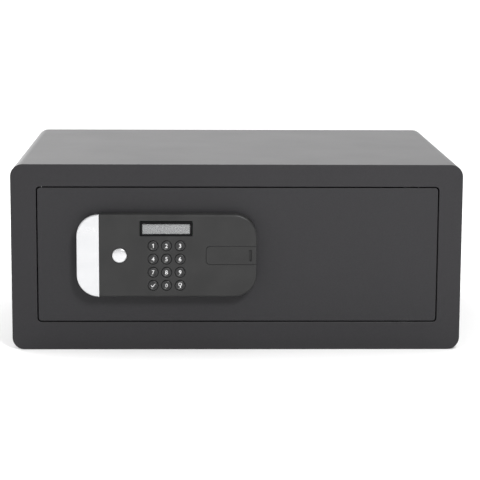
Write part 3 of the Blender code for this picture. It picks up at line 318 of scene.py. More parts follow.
def pressed_felt(name, colour):
    """Needle-felt: matted fibres in three directions, soft mottling and a dull sheen."""
    tree, shader = new_finish(name, colour, 0.97)
    shader.inputs["Sheen Weight"].default_value = 0.35
    shader.inputs["Sheen Roughness"].default_value = 0.6
    shader.inputs["Specular IOR Level"].default_value = 0.15
    turns = (0.2, 1.3, 2.3)
    layers = [noise(tree, places(tree, (260, 2600, 1400), (0, 0, turn)), 1.0, 2.0, 0.6) for turn in turns]
    total = layers[0]
    for layer in layers[1:]:
        item = node(tree, "Math", operation="ADD")
        feed(tree, item.inputs[0], total)
        feed(tree, item.inputs[1], layer)
        total = item.outputs[0]
    fibres = spread(tree, total, 0, 1, 1.1, 1.9)
    mottle = noise(tree, places(tree), 90.0, 3.0)
    base = tinted(tree, mottle, colour, 0.75, 1.25)
    dress(tree, shader, mix_colours(tree, fibres, base, shade(colour, 2.6)))
    add_bumps(tree, shader, [(mottle, 0.3, 0.6 * MM), (fibres, 0.8, 0.25 * MM)])


def printed_board(name, colour):
    """Solder mask over copper tracks, with a faint glass weave."""
    tree, shader = new_finish(name, colour, 0.32)
    upright = places(tree, turn=(math.pi / 2, 0, 0))
    tracks = node(tree, "TexBrick", {"Vector": upright}, scale=260.0, mortar_size=0.06, mortar_smooth=0.1)
    raised = tracks.outputs["Fac"]
    weave = noise(tree, places(tree, (1800, 1800, 260)), 1.0, 1.0)
    green = tinted(tree, weave, colour, 0.85, 1.1)
    dress(tree, shader, mix_colours(tree, raised, green, shade(colour, 1.9)))
    add_bumps(tree, shader, [(raised, 0.4, 0.05 * MM)])


def display_panel(name, colour):
    """A reflective display: a fine dot grid under a satin polariser, with a faint cloudiness."""
    tree, shader = new_finish(name, colour, 0.38)
    own = places(tree)
    dots = node(tree, "TexVoronoi", {"Vector": own}, scale=2200.0)
    cloud = noise(tree, own, 60.0, 2.0)
    grid = spread(tree, dots.outputs["Distance"], 0, 1, 0.1, 0.6)
    base = tinted(tree, cloud, colour, 0.96, 1.03)
    dress(tree, shader, mix_colours(tree, grid, base, shade(colour, 0.93)))
    add_bumps(tree, shader, [(dots.outputs["Distance"], 0.01, 0.01 * MM)])


def clear_pane(name):
    """The window's clear plastic: mostly see-through, with a glossy face and fine scratches."""
    tree, shader = new_finish(name, (0.85, 0.87, 0.88), 0.04)
    shader.inputs["Alpha"].default_value = 0.09
    shader.inputs["IOR"].default_value = 1.49
    hair = noise(tree, places(tree, (40, 40, 2200), (0, 0.7, 0)), 1.0, 3.0, 0.7)
    feed(tree, shader.inputs["Roughness"], spread(tree, hair, 0.03, 0.16, 0.5, 0.8))
    add_bumps(tree, shader, [(hair, 0.03, 0.01 * MM)])


def battery_label(name):
    """A printed sleeve: dark body with a lighter band near one end and a slight wrinkle."""
    tree, shader = new_finish(name, (0.03, 0.03, 0.035), 0.3)
    height = node(tree, "SeparateXYZ", {"Vector": places(tree)}).outputs["Z"]
    band = spread(tree, height, 0, 1, BAND_HEIGHT, BAND_HEIGHT + 0.3 * MM)
    dark, copper = (0.025, 0.026, 0.03), (0.62, 0.36, 0.14)
    wrinkle = noise(tree, places(tree, (120, 120, 700)), 1.0, 3.0)
    worn = mix_colours(tree, spread(tree, wrinkle, 0, 0.3), dark, (0.08, 0.08, 0.09))
    dress(tree, shader, mix_colours(tree, band, worn, copper))
    add_bumps(tree, shader, [(wrinkle, 0.1, 0.05 * MM)])


def soft_rubber(name, colour, roughness=0.62):
    """Matt rubber or cable skin with a faint bloom."""
    tree, shader = new_finish(name, colour, roughness)
    bloom = noise(tree, places(tree), 160.0, 4.0, 0.65)
    grain = noise(tree, places(tree), 2400.0, 1.0)
    polish = spread(tree, bloom, roughness - 0.06, roughness + 0.1)
    dress(tree, shader, tinted(tree, bloom, colour, 0.85, 1.2), polish)
    add_bumps(tree, shader, [(grain, 0.25, 0.02 * MM)])


def make_finishes():
    powder_coat("body_paint", (0.0245, 0.0238, 0.0256), 0.42)
    powder_coat("door_paint", (0.0245, 0.0240, 0.0258), 0.40)
    plated_steel("zinc", (0.60, 0.61, 0.62), 0.30)
    plated_steel("brass", (0.78, 0.58, 0.27), 0.26)
    chrome_plate("chrome")
    moulded_plastic("black_plastic", (0.0232, 0.0232, 0.0232), 0.40)
    polished_plastic("gloss_plastic", (0.002, 0.002, 0.0022), 0.16, 0.08)
    polished_plastic("key_plastic", (0.012, 0.012, 0.0125), 0.36, 0.42)
    clear_pane("display_window")
    display_panel("lcd_grey", (0.105, 0.105, 0.105))
    soft_rubber("silicone", (0.60, 0.60, 0.60), 0.55)
    printed_board("circuit_board", (0.02, 0.13, 0.055))
    battery_label("battery_skin")
    moulded_plastic("red_plastic", (0.42, 0.025, 0.02), 0.36)
    soft_rubber("lead_skin", (0.022, 0.022, 0.024))
    pressed_felt("felt", (0.030, 0.030, 0.033))


# ------------------------------------------------------------------ mesh helpers
AXES = {"X": Vector((1, 0, 0)), "Y": Vector((0, 1, 0)), "Z": Vector((0, 0, 1))}


def activate(piece):
    if bpy.context.object is not None and bpy.context.object.mode != "OBJECT":
        bpy.ops.object.mode_set(mode="OBJECT")
    bpy.ops.object.select_all(action="DESELECT")
    piece.select_set(True)
    bpy.context.view_layer.objects.active = piece


def edit_all(piece, kind="VERT"):
    """Enter edit mode with the whole piece selected."""
    activate(piece)
    bpy.ops.object.mode_set(mode="EDIT")
    bpy.ops.mesh.select_mode(type=kind)
    bpy.ops.mesh.select_all(action="SELECT")


def shaped(piece, kind, **settings):
    """Give the piece a modifier with these settings, and apply it."""
    activate(piece)
    modifier = piece.modifiers.new(kind.lower(), kind)
    for name, value in settings.items():
        setattr(modifier, name, value)
    bpy.ops.object.modifier_apply(modifier=modifier.name)
    return piece


def settle(name):
    """Name the new primitive and put its place into its mesh."""
    piece = bpy.context.object
    piece.name = name
    piece.data.name = name
    bpy.ops.object.transform_apply(location=True, rotation=True, scale=True)
    return piece


def block(name, low, high):
    bpy.ops.object.select_all(action="DESELECT")
    low, high = Vector(low), Vector(high)
    bpy.ops.mesh.primitive_cube_add(size=1, location=(low + high) / 2, scale=high - low)
    return settle(name)


def box_about(middle, wide, tall, front, back):
    """Corners of an upright box: half sizes in millimetres, and its front and back along Y."""
    half = Vector((wide, 0, tall)) * MM
    return Vector((middle.x, front, middle.z)) - half, Vector((middle.x, back, middle.z)) + half


def cylinder(name, start, length, radius, axis="Y", steps=48):
    """A round bar from its start along an axis."""
    bpy.ops.object.select_all(action="DESELECT")
    turn = {"X": (0, math.pi / 2, 0), "Y": (math.pi / 2, 0, 0), "Z": (0, 0, 0)}[axis]
    middle = Vector(start) + AXES[axis] * length / 2
    bpy.ops.mesh.primitive_cylinder_add(
        vertices=steps, radius=radius, depth=length, location=middle, rotation=turn)
    return settle(name)


def choose(piece, kind, test):
    """Enter edit mode with the piece's vertices, edges or faces that pass a test selected."""
    activate(piece)
    bpy.ops.object.mode_set(mode="EDIT")
    bpy.ops.mesh.select_mode(type=kind)
    bpy.ops.mesh.select_all(action="DESELECT")
    work = bmesh.from_edit_mesh(piece.data)
    work.normal_update()
    for item in {"VERT": work.verts, "EDGE": work.edges, "FACE": work.faces}[kind]:
        if test(item):
            item.select_set(True)
    bmesh.update_edit_mesh(piece.data)


def leave():
    bpy.ops.object.mode_set(mode="OBJECT")


def bevel_edges(piece, test, width, segments=1, clamp=False):
    choose(piece, "EDGE", test)
    bpy.ops.mesh.bevel(offset=width, segments=segments, affect="EDGES", clamp_overlap=clamp)
    leave()


def middle_of(edge):
    return (edge.verts[0].co + edge.verts[1].co) / 2


def along(axis, where=lambda middle: True):
    """A test for edges that run along an axis and whose middle passes a second test."""
    direction = AXES[axis]

    def test(edge):
        span = edge.verts[1].co - edge.verts[0].co
        return abs(span.dot(direction)) > 0.999 * span.length and where(middle_of(edge))
    return test


def left_of(x):
    return lambda middle: middle.x < x


def right_of(x):
    return lambda middle: middle.x > x


def rim(axis, place, where=lambda middle: True):
    """A test for the sharp edges that lie at one place along an axis."""
    number = "XYZ".index(axis)

    def test(edge):
        level = all(abs(vert.co[number] - place) < 0.01 * MM for vert in edge.verts)
        sharp = len(edge.link_faces) == 2 and edge.calc_face_angle() > 0.6
        return level and sharp and where(middle_of(edge))
    return test


def rounded_block(name, low, high, radius, axis="Y", segments=10, where=lambda middle: True):
    """A block whose edges along one axis are rounded."""
    piece = block(name, low, high)
    bevel_edges(piece, along(axis, where), radius, segments)
    return piece


def clean(piece):
    """Merge doubles and turn every face outwards."""
    edit_all(piece)
    bpy.ops.mesh.remove_doubles(threshold=0.002 * MM)
    bpy.ops.mesh.normals_make_consistent(inside=False)
    leave()
    return piece


def boolean(piece, tool, operation="DIFFERENCE"):
    """Cut the tool from the piece, or join it on, and drop the tool."""
    shaped(piece, "BOOLEAN", operation=operation, solver="EXACT", object=tool)
    bpy.data.objects.remove(tool)
    return piece


def merged(name, pieces):
    """Several separate solids as one object."""
    activate(pieces[0])
    for other in pieces[1:]:
        other.select_set(True)
    if len(pieces) > 1:
        bpy.ops.object.join()
    pieces[0].name = name
    pieces[0].data.name = name
    return pieces[0]


def copied(piece, name, move):
    """A copy with its own mesh, moved."""
    mesh = piece.data.copy()
    mesh.name = name
    mesh.transform(Matrix.Translation(move))
    other = bpy.data.objects.new(name, mesh)
    bpy.context.scene.collection.objects.link(other)
    return other


def smooth(piece, angle=32):
    """Smooth shading with crisp flats: sharp past the angle, weighted by face size elsewhere."""
    activate(piece)
    bpy.ops.object.shade_smooth_by_angle(angle=math.radians(angle))
    return shaped(piece, "WEIGHTED_NORMAL", keep_sharp=True)


def soften(piece, width, segments=2, angle=32):
    """Round every edge that is sharper than the angle, then shade it."""
    shaped(piece, "BEVEL", width=width, segments=segments, limit_method="ANGLE",
           angle_limit=math.radians(angle))
    return smooth(piece, angle)


def turned(name, profile, centre, axis="Y", steps=48):
    """A profile of (radius, distance along the axis) in millimetres, spun round an axis."""
    direction = AXES[axis]
    outwards = AXES["Z"] if axis == "X" else AXES["X"]
    centre = Vector(centre)
    points = [centre + outwards * radius * MM + direction * place * MM for radius, place in profile]
    bpy.ops.object.select_all(action="DESELECT")
    bpy.ops.mesh.primitive_plane_add(size=MM, location=points[0])
    piece = settle(name)
    edit_all(piece)
    bpy.ops.mesh.merge(type="CENTER")
    for start, stop in zip(points, points[1:]):
        bpy.ops.mesh.extrude_region_move(TRANSFORM_OT_translate={"value": stop - start})
    bpy.ops.mesh.select_all(action="SELECT")
    bpy.ops.mesh.spin(steps=steps, angle=2 * math.pi, center=centre, axis=direction)
    leave()
    return clean(piece)


def arc_profile(centre_radius, centre_place, radius, start, stop, steps=5):
    """Points of a round corner for a turned profile, in millimetres and degrees."""
    turns = [math.radians(start + (stop - start) * step / steps) for step in range(steps + 1)]
    return [(centre_radius + radius * math.cos(t), centre_place + radius * math.sin(t)) for t in turns]


def fit(piece, body, slot, *replaced):
    """Give a finished piece its finish, its body and the nodes that it stands for."""
    piece.data.materials.clear()
    piece.data.materials.append(FINISHES[slot])
    for face in piece.data.polygons:
        face.material_index = 0
    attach(piece, body)
    if replaced:
        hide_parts(*replaced)
    return piece


def refined(node_name, body, slot, width, segments=2, angle=32):
    """A merged copy of a plain node with rounded edges, in that node's place."""
    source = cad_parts[node_name]
    mesh = source.data.copy()
    piece = bpy.data.objects.new(node_name + "_finished", mesh)
    bpy.context.scene.collection.objects.link(piece)
    clean(piece)
    edit_all(piece)
    bpy.ops.mesh.customdata_custom_splitnormals_clear()
    bpy.ops.mesh.dissolve_limited(angle_limit=math.radians(1))
    leave()
    soften(piece, width, segments, angle)
    return fit(piece, body, slot, node_name)


def weld_bead(name, start, stop, radius):
    """A rippled bead along X or Z between two points."""
    axis = "X" if abs(stop.x - start.x) > abs(stop.z - start.z) else "Z"
    number = "XYZ".index(axis)
    length = (stop - start).length
    bead = cylinder(name, start, length, radius, axis, 10)
    ripples = max(4, round(length / (1.6 * radius)))
    choose(bead, "EDGE", along(axis))
    bpy.ops.mesh.subdivide(number_cuts=2 * ripples - 1)
    leave()
    pitch = length / (2 * ripples)

    def on_crest(vert):
        return round((vert.co[number] - start[number]) / pitch) % 2 == 1
    choose(bead, "VERT", on_crest)
    swell = [1.22, 1.22, 1.22]
    swell[number] = 1.0
    bpy.ops.transform.resize(value=swell, center_override=tuple(start))
    leave()
    return smooth(bead, 70)


# ------------------------------------------------------------------ cabinet
def make_cabinet_skin():
    """Wrap and front frame as one skin: the bend lines and the welds are ground flush."""
    low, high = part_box("body_shell")
    skin = rounded_block("cabinet_skin", low, high, CORNER, segments=14)
    wall = Vector((SHEET, SHEET, SHEET))
    past = Vector((0, SHEET + 2 * MM, 0))
    boolean(skin, rounded_block("cabinet_space", low + wall, high - wall + past, CORNER - SHEET, segments=12))
    door_low, door_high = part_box("door_plate")
    margin = Vector((DOOR_GAP - PAINT_BUILD, 6 * MM, DOOR_GAP - PAINT_BUILD))
    boolean(skin, rounded_block("door_opening", door_low - margin, door_high + margin, OPENING_CORNER))
    for place in FLOOR_ANCHORS:
        boolean(skin, cylinder("floor_anchor", place - AXES["Z"] * MM, 6 * MM, ANCHOR_RADIUS, "Z", 32))
    clean(skin)
    bevel_edges(skin, rim("Y", low.y), 0.7 * MM, 3)
    bevel_edges(skin, rim("Y", high.y), 0.6 * MM, 2)
    bevel_edges(skin, rim("Y", low.y + SHEET), 0.4 * MM, 2)

    def near_anchor(middle):
        return any((middle.xy - place.xy).length < ANCHOR_RADIUS * 1.05 for place in FLOOR_ANCHORS)
    for level in (low.z, low.z + SHEET):
        bevel_edges(skin, rim("Z", level, near_anchor), 0.3 * MM, 1)
    smooth(skin)
    fit(skin, "cabinet", "body_paint", "body_shell", "front_frame")


def make_back_panel():
    refined("back_panel", "cabinet", "body_paint", 0.5 * MM)


def make_felt_mat():
    """Thick felt, cut to the floor, that lies a little unevenly."""
    low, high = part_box("floor_mat")
    thick = high.z - low.z
    middle = (low + high) / 2
    bpy.ops.object.select_all(action="DESELECT")
    bpy.ops.mesh.primitive_grid_add(x_subdivisions=90, y_subdivisions=68, size=1, location=middle)
    bpy.context.object.scale = (high.x - low.x, high.y - low.y, 1)
    mat = settle("felt_mat")
    corners = [(x, y) for x in (low.x, high.x) for y in (low.y, high.y)]

    def is_corner(vert):
        return any((vert.co.xy - Vector(corner)).length < 0.1 * MM for corner in corners)
    choose(mat, "VERT", is_corner)
    bpy.ops.mesh.bevel(offset=3.5 * MM, segments=4, affect="VERTICES")
    leave()
    pile = bpy.data.textures.new("felt_lie", "CLOUDS")
    pile.noise_scale = 0.055
    shaped(mat, "DISPLACE", texture=pile, texture_coords="LOCAL", direction="Z", mid_level=0.5,
           strength=0.5 * MM)
    shaped(mat, "SOLIDIFY", thickness=thick - 0.4 * MM, offset=0.0)
    soften(mat, 0.7 * MM, 3, 50)
    fit(mat, "cabinet", "felt", "floor_mat")


def make_hinges():
    """Brackets, washer, knuckles and pins, with their weld beads."""
    for name in ("hinge_bracket_upper", "hinge_bracket_lower"):
        refined(name, "cabinet", "body_paint", 0.6 * MM, 3)
    for name in ("hinge_knuckle_upper", "hinge_knuckle_lower"):
        refined(name, "door", "door_paint", 0.6 * MM, 3)
    refined("thrust_washer", "cabinet", "zinc", 0.25 * MM)
    for name in ("hinge_pin_upper", "hinge_pin_lower"):
        refined(name, "door", "zinc", 0.4 * MM, 3)
    for name, edge in (("hinge_bracket_upper", "high"), ("hinge_bracket_lower", "low")):
        low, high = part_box(name)
        height = high.z if edge == "high" else low.z
        start = Vector((low.x + 4 * MM, low.y + 0.8 * MM, height))
        stop = Vector((high.x - 4 * MM, start.y, height))
        fit(weld_bead(name + "_weld", start, stop, 1.5 * MM), "cabinet", "body_paint")
    for name in ("hinge_knuckle_upper", "hinge_knuckle_lower"):
        low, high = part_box(name)
        beads = []
        for number, x in enumerate((low.x, high.x)):
            start = Vector((x, low.y + MM, low.z + 2 * MM))
            stop = Vector((x, start.y, high.z - 2 * MM))
            beads.append(weld_bead(f"{name}_weld_{number}", start, stop, 1.2 * MM))
        fit(merged(name + "_weld", beads), "door", "door_paint")


def make_strike():
    refined("bolt_strike", "cabinet", "body_paint", 0.5 * MM, 2)
    low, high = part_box("bolt_strike")
    beads = []
    for number, share in enumerate((0.12, 0.5, 0.88)):
        height = low.z + share * (high.z - low.z)
        start = Vector((low.x, low.y + 1.0 * MM, height - 9 * MM))
        stop = Vector((low.x, start.y, height + 9 * MM))
        beads.append(weld_bead(f"strike_weld_{number}", start, stop, 1.3 * MM))
    fit(merged("strike_weld", beads), "cabinet", "body_paint")


# ------------------------------------------------------------------ door plate and liner
def make_door_skin():
    low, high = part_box("door_plate")
    film = Vector((PAINT_BUILD, 0, PAINT_BUILD))
    skin = rounded_block("door_skin", low - film, high + film, OPENING_CORNER - DOOR_GAP / 2)
    boolean(skin, cylinder("barrel_hole", centre_at("lock_cylinder", low.y - MM), 8 * MM, 8.3 * MM))
    boolean(skin, rounded_block("cable_slot", at(-46, -1, 101), at(-30, 7, 109), 3.9 * MM))
    clean(skin)
    bevel_edges(skin, rim("Y", low.y), 0.6 * MM, 3)
    bevel_edges(skin, rim("Y", high.y), 0.5 * MM, 2)
    smooth(skin)
    fit(skin, "door", "door_paint", "door_plate")


def make_dog_bar():
    low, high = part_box("dog_bar")
    bar = rounded_block("fixed_bar", low, high, 2.0 * MM, segments=4)
    spots = [Vector(((low.x + high.x) / 2 - 4 * MM, high.y, low.z + share * (high.z - low.z)))
             for share in PLUG_WELDS]
    for spot in spots:
        start = spot - AXES["Y"] * 1.2 * MM
        boolean(bar, cylinder("plug_weld_hole", start, 3 * MM, 4.0 * MM, steps=32))
    soften(bar, 0.5 * MM, 2)
    fit(bar, "door", "door_paint", "dog_bar")
    profile = [(0, 0.1), (1.6, 0.0), (2.8, -0.3), (3.6, -0.9), (3.6, -1.1), (0, -1.1)]
    welds = [turned(f"plug_weld_{number}", profile, spot, steps=24) for number, spot in enumerate(spots)]
    fit(smooth(merged("fixed_bar_welds", welds), 60), "door", "door_paint")


def make_liner():
    """The tray behind the door: pressed panel, screw holes and openings."""
    low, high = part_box("door_cover")
    liner = rounded_block("door_liner", low, high, LINER_CORNER)
    bevel_edges(liner, rim("Y", high.y), 1.2 * MM, 4)
    wall = Vector((LINER_WALL, LINER_WALL, LINER_WALL))
    open_side = Vector((0, 4 * MM, 0))
    space_corner = LINER_CORNER - LINER_WALL
    boolean(liner, rounded_block("liner_space", low + wall - open_side, high - wall, space_corner))
    pressed_low = Vector((at(-192, 0, 0).x, high.y - 0.7 * MM, at(0, 0, 59).z))
    pressed_high = Vector((at(28, 0, 0).x, high.y + MM, at(0, 0, 147).z))
    boolean(liner, rounded_block("pressed_panel", pressed_low, pressed_high, 8 * MM))
    battery_low, battery_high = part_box("battery_cover")
    margin = Vector((CLEARANCE, 4 * MM, CLEARANCE))
    boolean(liner, block("battery_opening", battery_low - margin, battery_high + margin))
    inside = high.y - 3 * MM
    boolean(liner, cylinder("reset_hole", centre_at("reset_button", inside), 5 * MM, 3.4 * MM))
    for number in range(1, 5):
        start = centre_at(f"cover_screw_{number}", inside)
        boolean(liner, cylinder("screw_hole", start, 5 * MM, 2.4 * MM, steps=24))
    for name in ("lock_bolt_lower", "lock_bolt_upper"):
        bolt = centre_of(name)
        start = Vector((low.x - MM, bolt.y, bolt.z))
        boolean(liner, cylinder("bolt_hole", start, 4 * MM, BOLT_HOLE, "X", 48))
    clean(liner)
    bevel_edges(liner, rim("Y", high.y), 0.35 * MM, 2)
    bevel_edges(liner, rim("Y", pressed_low.y), 0.3 * MM, 2)
    bevel_edges(liner, rim("Y", low.y), 0.3 * MM, 1)
    smooth(liner)
    fit(liner, "door", "door_paint", "door_cover")


def make_liner_screws():
    """Pan heads with a cross recess on long shanks, modelled once and copied."""
    low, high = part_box("cover_screw_1")
    length = (high.y - low.y) / MM
    seat = length - 2.2
    profile = [(0, 0), (1.6, 0), (2.0, 0.4), (2.0, seat + 0.3), (3.8, seat + 0.3)]
    profile += [(3.8, seat + 0.8), (3.65, seat + 1.2), (3.2, seat + 1.65), (2.4, seat + 2.0), (1.2, length)]
    profile += [(0, length)]
    middle = centre_of("cover_screw_1")
    screw = turned("liner_screw_1", profile, centre_at("cover_screw_1", low.y), steps=32)
    for wide, tall in ((2.1, 0.45), (0.45, 2.1)):
        arms = box_about(middle, wide, tall, high.y - 1.3 * MM, high.y + MM)
        boolean(screw, block("cross_recess", *arms))
    smooth(clean(screw), 30)
    for number in range(1, 5):
        target = screw
        if number > 1:
            target = copied(screw, f"liner_screw_{number}", centre_of(f"cover_screw_{number}") - middle)
        fit(target, "door", "zinc", f"cover_screw_{number}")


def make_battery_cover():
    """A flat lid with a thumb recess and three grip ribs."""
    low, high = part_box("battery_cover")
    lid = rounded_block("battery_lid", low, high, 0.8 * MM, segments=3)
    thumb = Vector(((low.x + high.x) / 2, 0, high.z - 9 * MM))
    recess = box_about(thumb, 10, 4, high.y - 0.9 * MM, high.y + MM)
    boolean(lid, rounded_block("thumb_recess", *recess, 3.9 * MM))
    for height in (2, 0, -2):
        rib = box_about(thumb + AXES["Z"] * height * MM, 6.5, 0.4, high.y - 1.0 * MM, high.y - 0.2 * MM)
        boolean(lid, block("grip_rib", *rib), "UNION")
    soften(clean(lid), 0.2 * MM, 2)
    fit(lid, "battery_cover", "black_plastic", "battery_cover")


def make_reset_button():
    profile = [(0, 0), (2.0, 0), (2.0, 5.0), (4.5, 5.0), (4.5, 7.2), (3.0, 7.2)]
    profile += arc_profile(2.5, 9.6, 0.5, 0, 90, 4) + [(1.6, 10.0), (0.8, 9.85), (0, 9.8)]
    base = centre_at("reset_button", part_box("reset_button")[0].y)
    button = turned("code_reset_button", profile, base, steps=32)
    fit(smooth(button, 40), "reset_button", "red_plastic", "reset_button")


# ------------------------------------------------------------------ lock housing
def make_keypad_housing():
    """The moulding: filleted shell with the display window, key wells, cap seat and cover track."""
    low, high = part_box("lock_housing")
    housing = block("keypad_housing", low, high)
    bevel_edges(housing, along("Y", right_of(high.x - MM)), HOUSING_CORNER, 18)
    bevel_edges(housing, rim("Y", low.y, right_of(low.x + MM)), HOUSING_FILLET, 6)
    wall = Vector((HOUSING_WALL, HOUSING_WALL, HOUSING_WALL))
    past = Vector((0, HOUSING_WALL + MM, 0))
    space = block("housing_space", low + wall, high - wall + past)
    inner_right = high.x - HOUSING_WALL
    bevel_edges(space, along("Y", right_of(inner_right - MM)), HOUSING_CORNER - HOUSING_WALL, 12)
    boolean(housing, space)
    cut_cover_track(housing, low)
    window_low, window_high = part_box("display_lens")
    reach = Vector((CLEARANCE, 3 * MM, CLEARANCE))
    window = rounded_block("window_opening", window_low - reach, window_high + reach, 1.0 * MM, segments=4)
    boolean(housing, window)
    front = low.y - MM
    boolean(housing, cylinder("cap_seat", centre_at("keyhole_cap", front), 5 * MM, 8.1 * MM, steps=64))
    wells = []
    for name in KEY_NODES:
        wells.append(cylinder(name + "_well", centre_at(name, front), 5 * MM, KEY_HOLE, steps=40))
    boolean(housing, merged("key_wells", wells))
    clean(housing)
    bevel_edges(housing, rim("Y", low.y), 0.3 * MM, 2)
    smooth(housing)
    fit(housing, "door", "black_plastic", "lock_housing")


def cut_cover_track(housing, low):
    """The sunk track of the service cover, undercut for its lips, with the socket's hole."""
    cover_low, cover_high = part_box("service_cover")
    front = low.y
    floor = cover_high.y + CLEARANCE
    left = cover_low.x + COVER_LIP
    bottom, top = cover_low.z + COVER_LIP, cover_high.z - COVER_LIP
    past = cover_high.x + 8 * MM
    backing_low = Vector((left - 4 * MM, front + MM, bottom - 4 * MM))
    backing_high = Vector((cover_high.x - MM, floor + 1.5 * MM, top + 4 * MM))
    boolean(housing, block("track_backing", backing_low, backing_high), "UNION")
    gap = CLEARANCE
    track_low = Vector((left - gap, front - MM, bottom - gap))
    track_high = Vector((past, floor, top + gap))
    at_left = left_of(left + MM)
    boolean(housing, rounded_block("track", track_low, track_high, COVER_CORNER, where=at_left))
    reach = COVER_LIP + gap
    undercut_low = Vector((left - reach, floor - 1.3 * MM, bottom - reach))
    undercut_high = Vector((past, floor, top + reach))
    lip_corner = COVER_CORNER + COVER_LIP
    boolean(housing, rounded_block("undercut", undercut_low, undercut_high, lip_corner, where=at_left))
    socket_low, socket_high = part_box("power_socket")
    around = Vector((CLEARANCE, 0, CLEARANCE))
    hole_low = Vector((socket_low.x, floor - MM, socket_low.z)) - around
    hole_high = Vector((socket_high.x, floor + 3 * MM, socket_high.z)) + around
    boolean(housing, rounded_block("socket_hole", hole_low, hole_high, 1.2 * MM, segments=4))


def make_service_cover():
    """The slide over the power socket, with side lips and a finger-nail slot."""
    low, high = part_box("service_cover")
    left = low.x + COVER_LIP
    face_low = Vector((left, low.y, low.z + COVER_LIP))
    face_high = Vector((high.x, high.y, high.z - COVER_LIP))
    at_left = left_of(left + MM)
    cover = rounded_block("service_slide", face_low, face_high, COVER_CORNER, where=at_left)
    bevel_edges(cover, rim("Y", low.y, right_of(high.x - 0.1 * MM)), HOUSING_FILLET * 0.8, 6)
    bevel_edges(cover, rim("Y", low.y, left_of(high.x - 3 * MM)), 0.35 * MM, 3)
    lips_low = Vector((low.x, high.y - 0.7 * MM, low.z))
    lips_high = Vector((high.x - 0.4 * MM, high.y, high.z))
    lips = rounded_block("cover_lips", lips_low, lips_high, COVER_CORNER + COVER_LIP, where=at_left)
    boolean(cover, lips, "UNION")
    slot_low, slot_high = at(12.6, -16, 98.8), at(15.2, -11, 111.2)
    boolean(cover, rounded_block("nail_slot", slot_low, slot_high, 0.9 * MM, segments=5))
    clean(cover)

    def in_slot(middle):
        return all(slot_low[i] - MM < middle[i] < slot_high[i] + MM for i in (0, 2))
    bevel_edges(cover, rim("Y", low.y, in_slot), 0.25 * MM, 2)
    smooth(cover)
    fit(cover, "service_cover", "black_plastic", "service_cover")


def make_pull_grip():
    """The bright pull: a D-shaped plate on an upright web."""
    low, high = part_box("chrome_grip")
    plate_back = low.y + 4.5 * MM
    width = high.x - low.x
    grip = block("pull_grip", low, Vector((high.x, plate_back, high.z)))
    bevel_edges(grip, along("Y", left_of(low.x + MM)), width - 0.01 * MM, 22)
    clean(grip)
    bevel_edges(grip, rim("Y", low.y, left_of(high.x - 0.2 * MM)), 1.3 * MM, 5)
    bevel_edges(grip, rim("Y", plate_back, left_of(high.x - 0.2 * MM)), 0.8 * MM, 3)
    web_low = Vector((high.x - 5 * MM, plate_back - MM, low.z + 1.5 * MM))
    web_high = Vector((high.x, high.y, high.z - 1.5 * MM))
    boolean(grip, block("grip_web", web_low, web_high), "UNION")
    smooth(clean(grip), 35)
    fit(grip, "door", "chrome", "chrome_grip")


def make_display():
    """Gloss frame with a bevelled aperture, the display panel behind it and the clear pane. The frame is
    partly painted shade: its wide dark top band stands in for the shadow that the recess casts on the
    display.
    """
    low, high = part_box("display_lens")
    front = low.y - 0.9 * MM
    back = low.y + 1.7 * MM
    bezel = rounded_block(
        "display_frame", Vector((low.x, front, low.z)), Vector((high.x, back, high.z)), 1.0 * MM, segments=4)
    # Real black bezel bands. The top band is widened as painted shade for the shadow the recess casts on the
    # display.
    side, top, bottom = 2.5 * MM, 3.2 * MM, 1.9 * MM
    opening_low = Vector((low.x + side, front - 0.2 * MM, low.z + bottom))
    opening_high = Vector((high.x - side, back + MM, high.z - top))
    opening = rounded_block("display_opening", opening_low, opening_high, 0.5 * MM, segments=3)
    choose(opening, "FACE", lambda face: face.normal.y < -0.9)
    width, height = opening_high.x - opening_low.x, opening_high.z - opening_low.z
    flare = 0.9 * MM
    bpy.ops.transform.resize(
        value=(1 + flare / width, 1, 1 + flare / height),
        center_override=tuple((opening_low + opening_high) / 2))
    leave()
    boolean(bezel, opening)
    clean(bezel)
    bevel_edges(bezel, rim("Y", front), 0.35 * MM, 3)
    smooth(bezel)
    fit(bezel, "door", "gloss_plastic")
    make_display_panel(back)
    pane_low = Vector((opening_low.x + 0.1 * MM, front + 0.9 * MM, opening_low.z + 0.1 * MM))
    pane_high = Vector((opening_high.x - 0.1 * MM, front + 1.5 * MM, opening_high.z - 0.1 * MM))
    pane = rounded_block("display_pane", pane_low, pane_high, 0.4 * MM, segments=3)
    soften(pane, 0.1 * MM, 1)
    fit(pane, "door", "display_window", "display_lens")


def make_display_panel(front):
    """The grey display behind the window, with its face slightly sunk."""
    low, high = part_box("lcd_panel")
    panel = block("display_panel", Vector((low.x, front + 0.1 * MM, low.z)), high)
    choose(panel, "FACE", lambda face: face.normal.y < -0.9)
    bpy.ops.mesh.inset(thickness=0.6 * MM, depth=-0.15 * MM)
    leave()
    soften(panel, 0.1 * MM, 1)
    fit(panel, "door", "lcd_grey", "lcd_panel")


def make_keys():
    """Round keys with a raised ring and a dished middle, modelled once and copied."""
    first = centre_of("key_1")
    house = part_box("lock_housing")[0].y
    profile = [(0, -0.42), (1.6, -0.43), (2.6, -0.47), (3.1, -0.56), (3.5, -0.74), (3.85, -0.93)]
    profile += [(4.2, -1.0), (4.55, -0.95), (4.9, -0.78), (5.15, -0.5), (5.3, -0.1), (5.3, 2.3)]
    profile += [(6.3, 2.3), (6.3, 3.4), (0, 3.4)]
    key = turned("key_cap_1", profile, centre_at("key_1", house), steps=48)
    smooth(key, 40)
    for name in KEY_NODES:
        target = key
        if name != "key_1":
            target = copied(key, name.replace("key_", "key_cap_"), centre_of(name) - first)
        fit(target, name, "key_plastic", name)


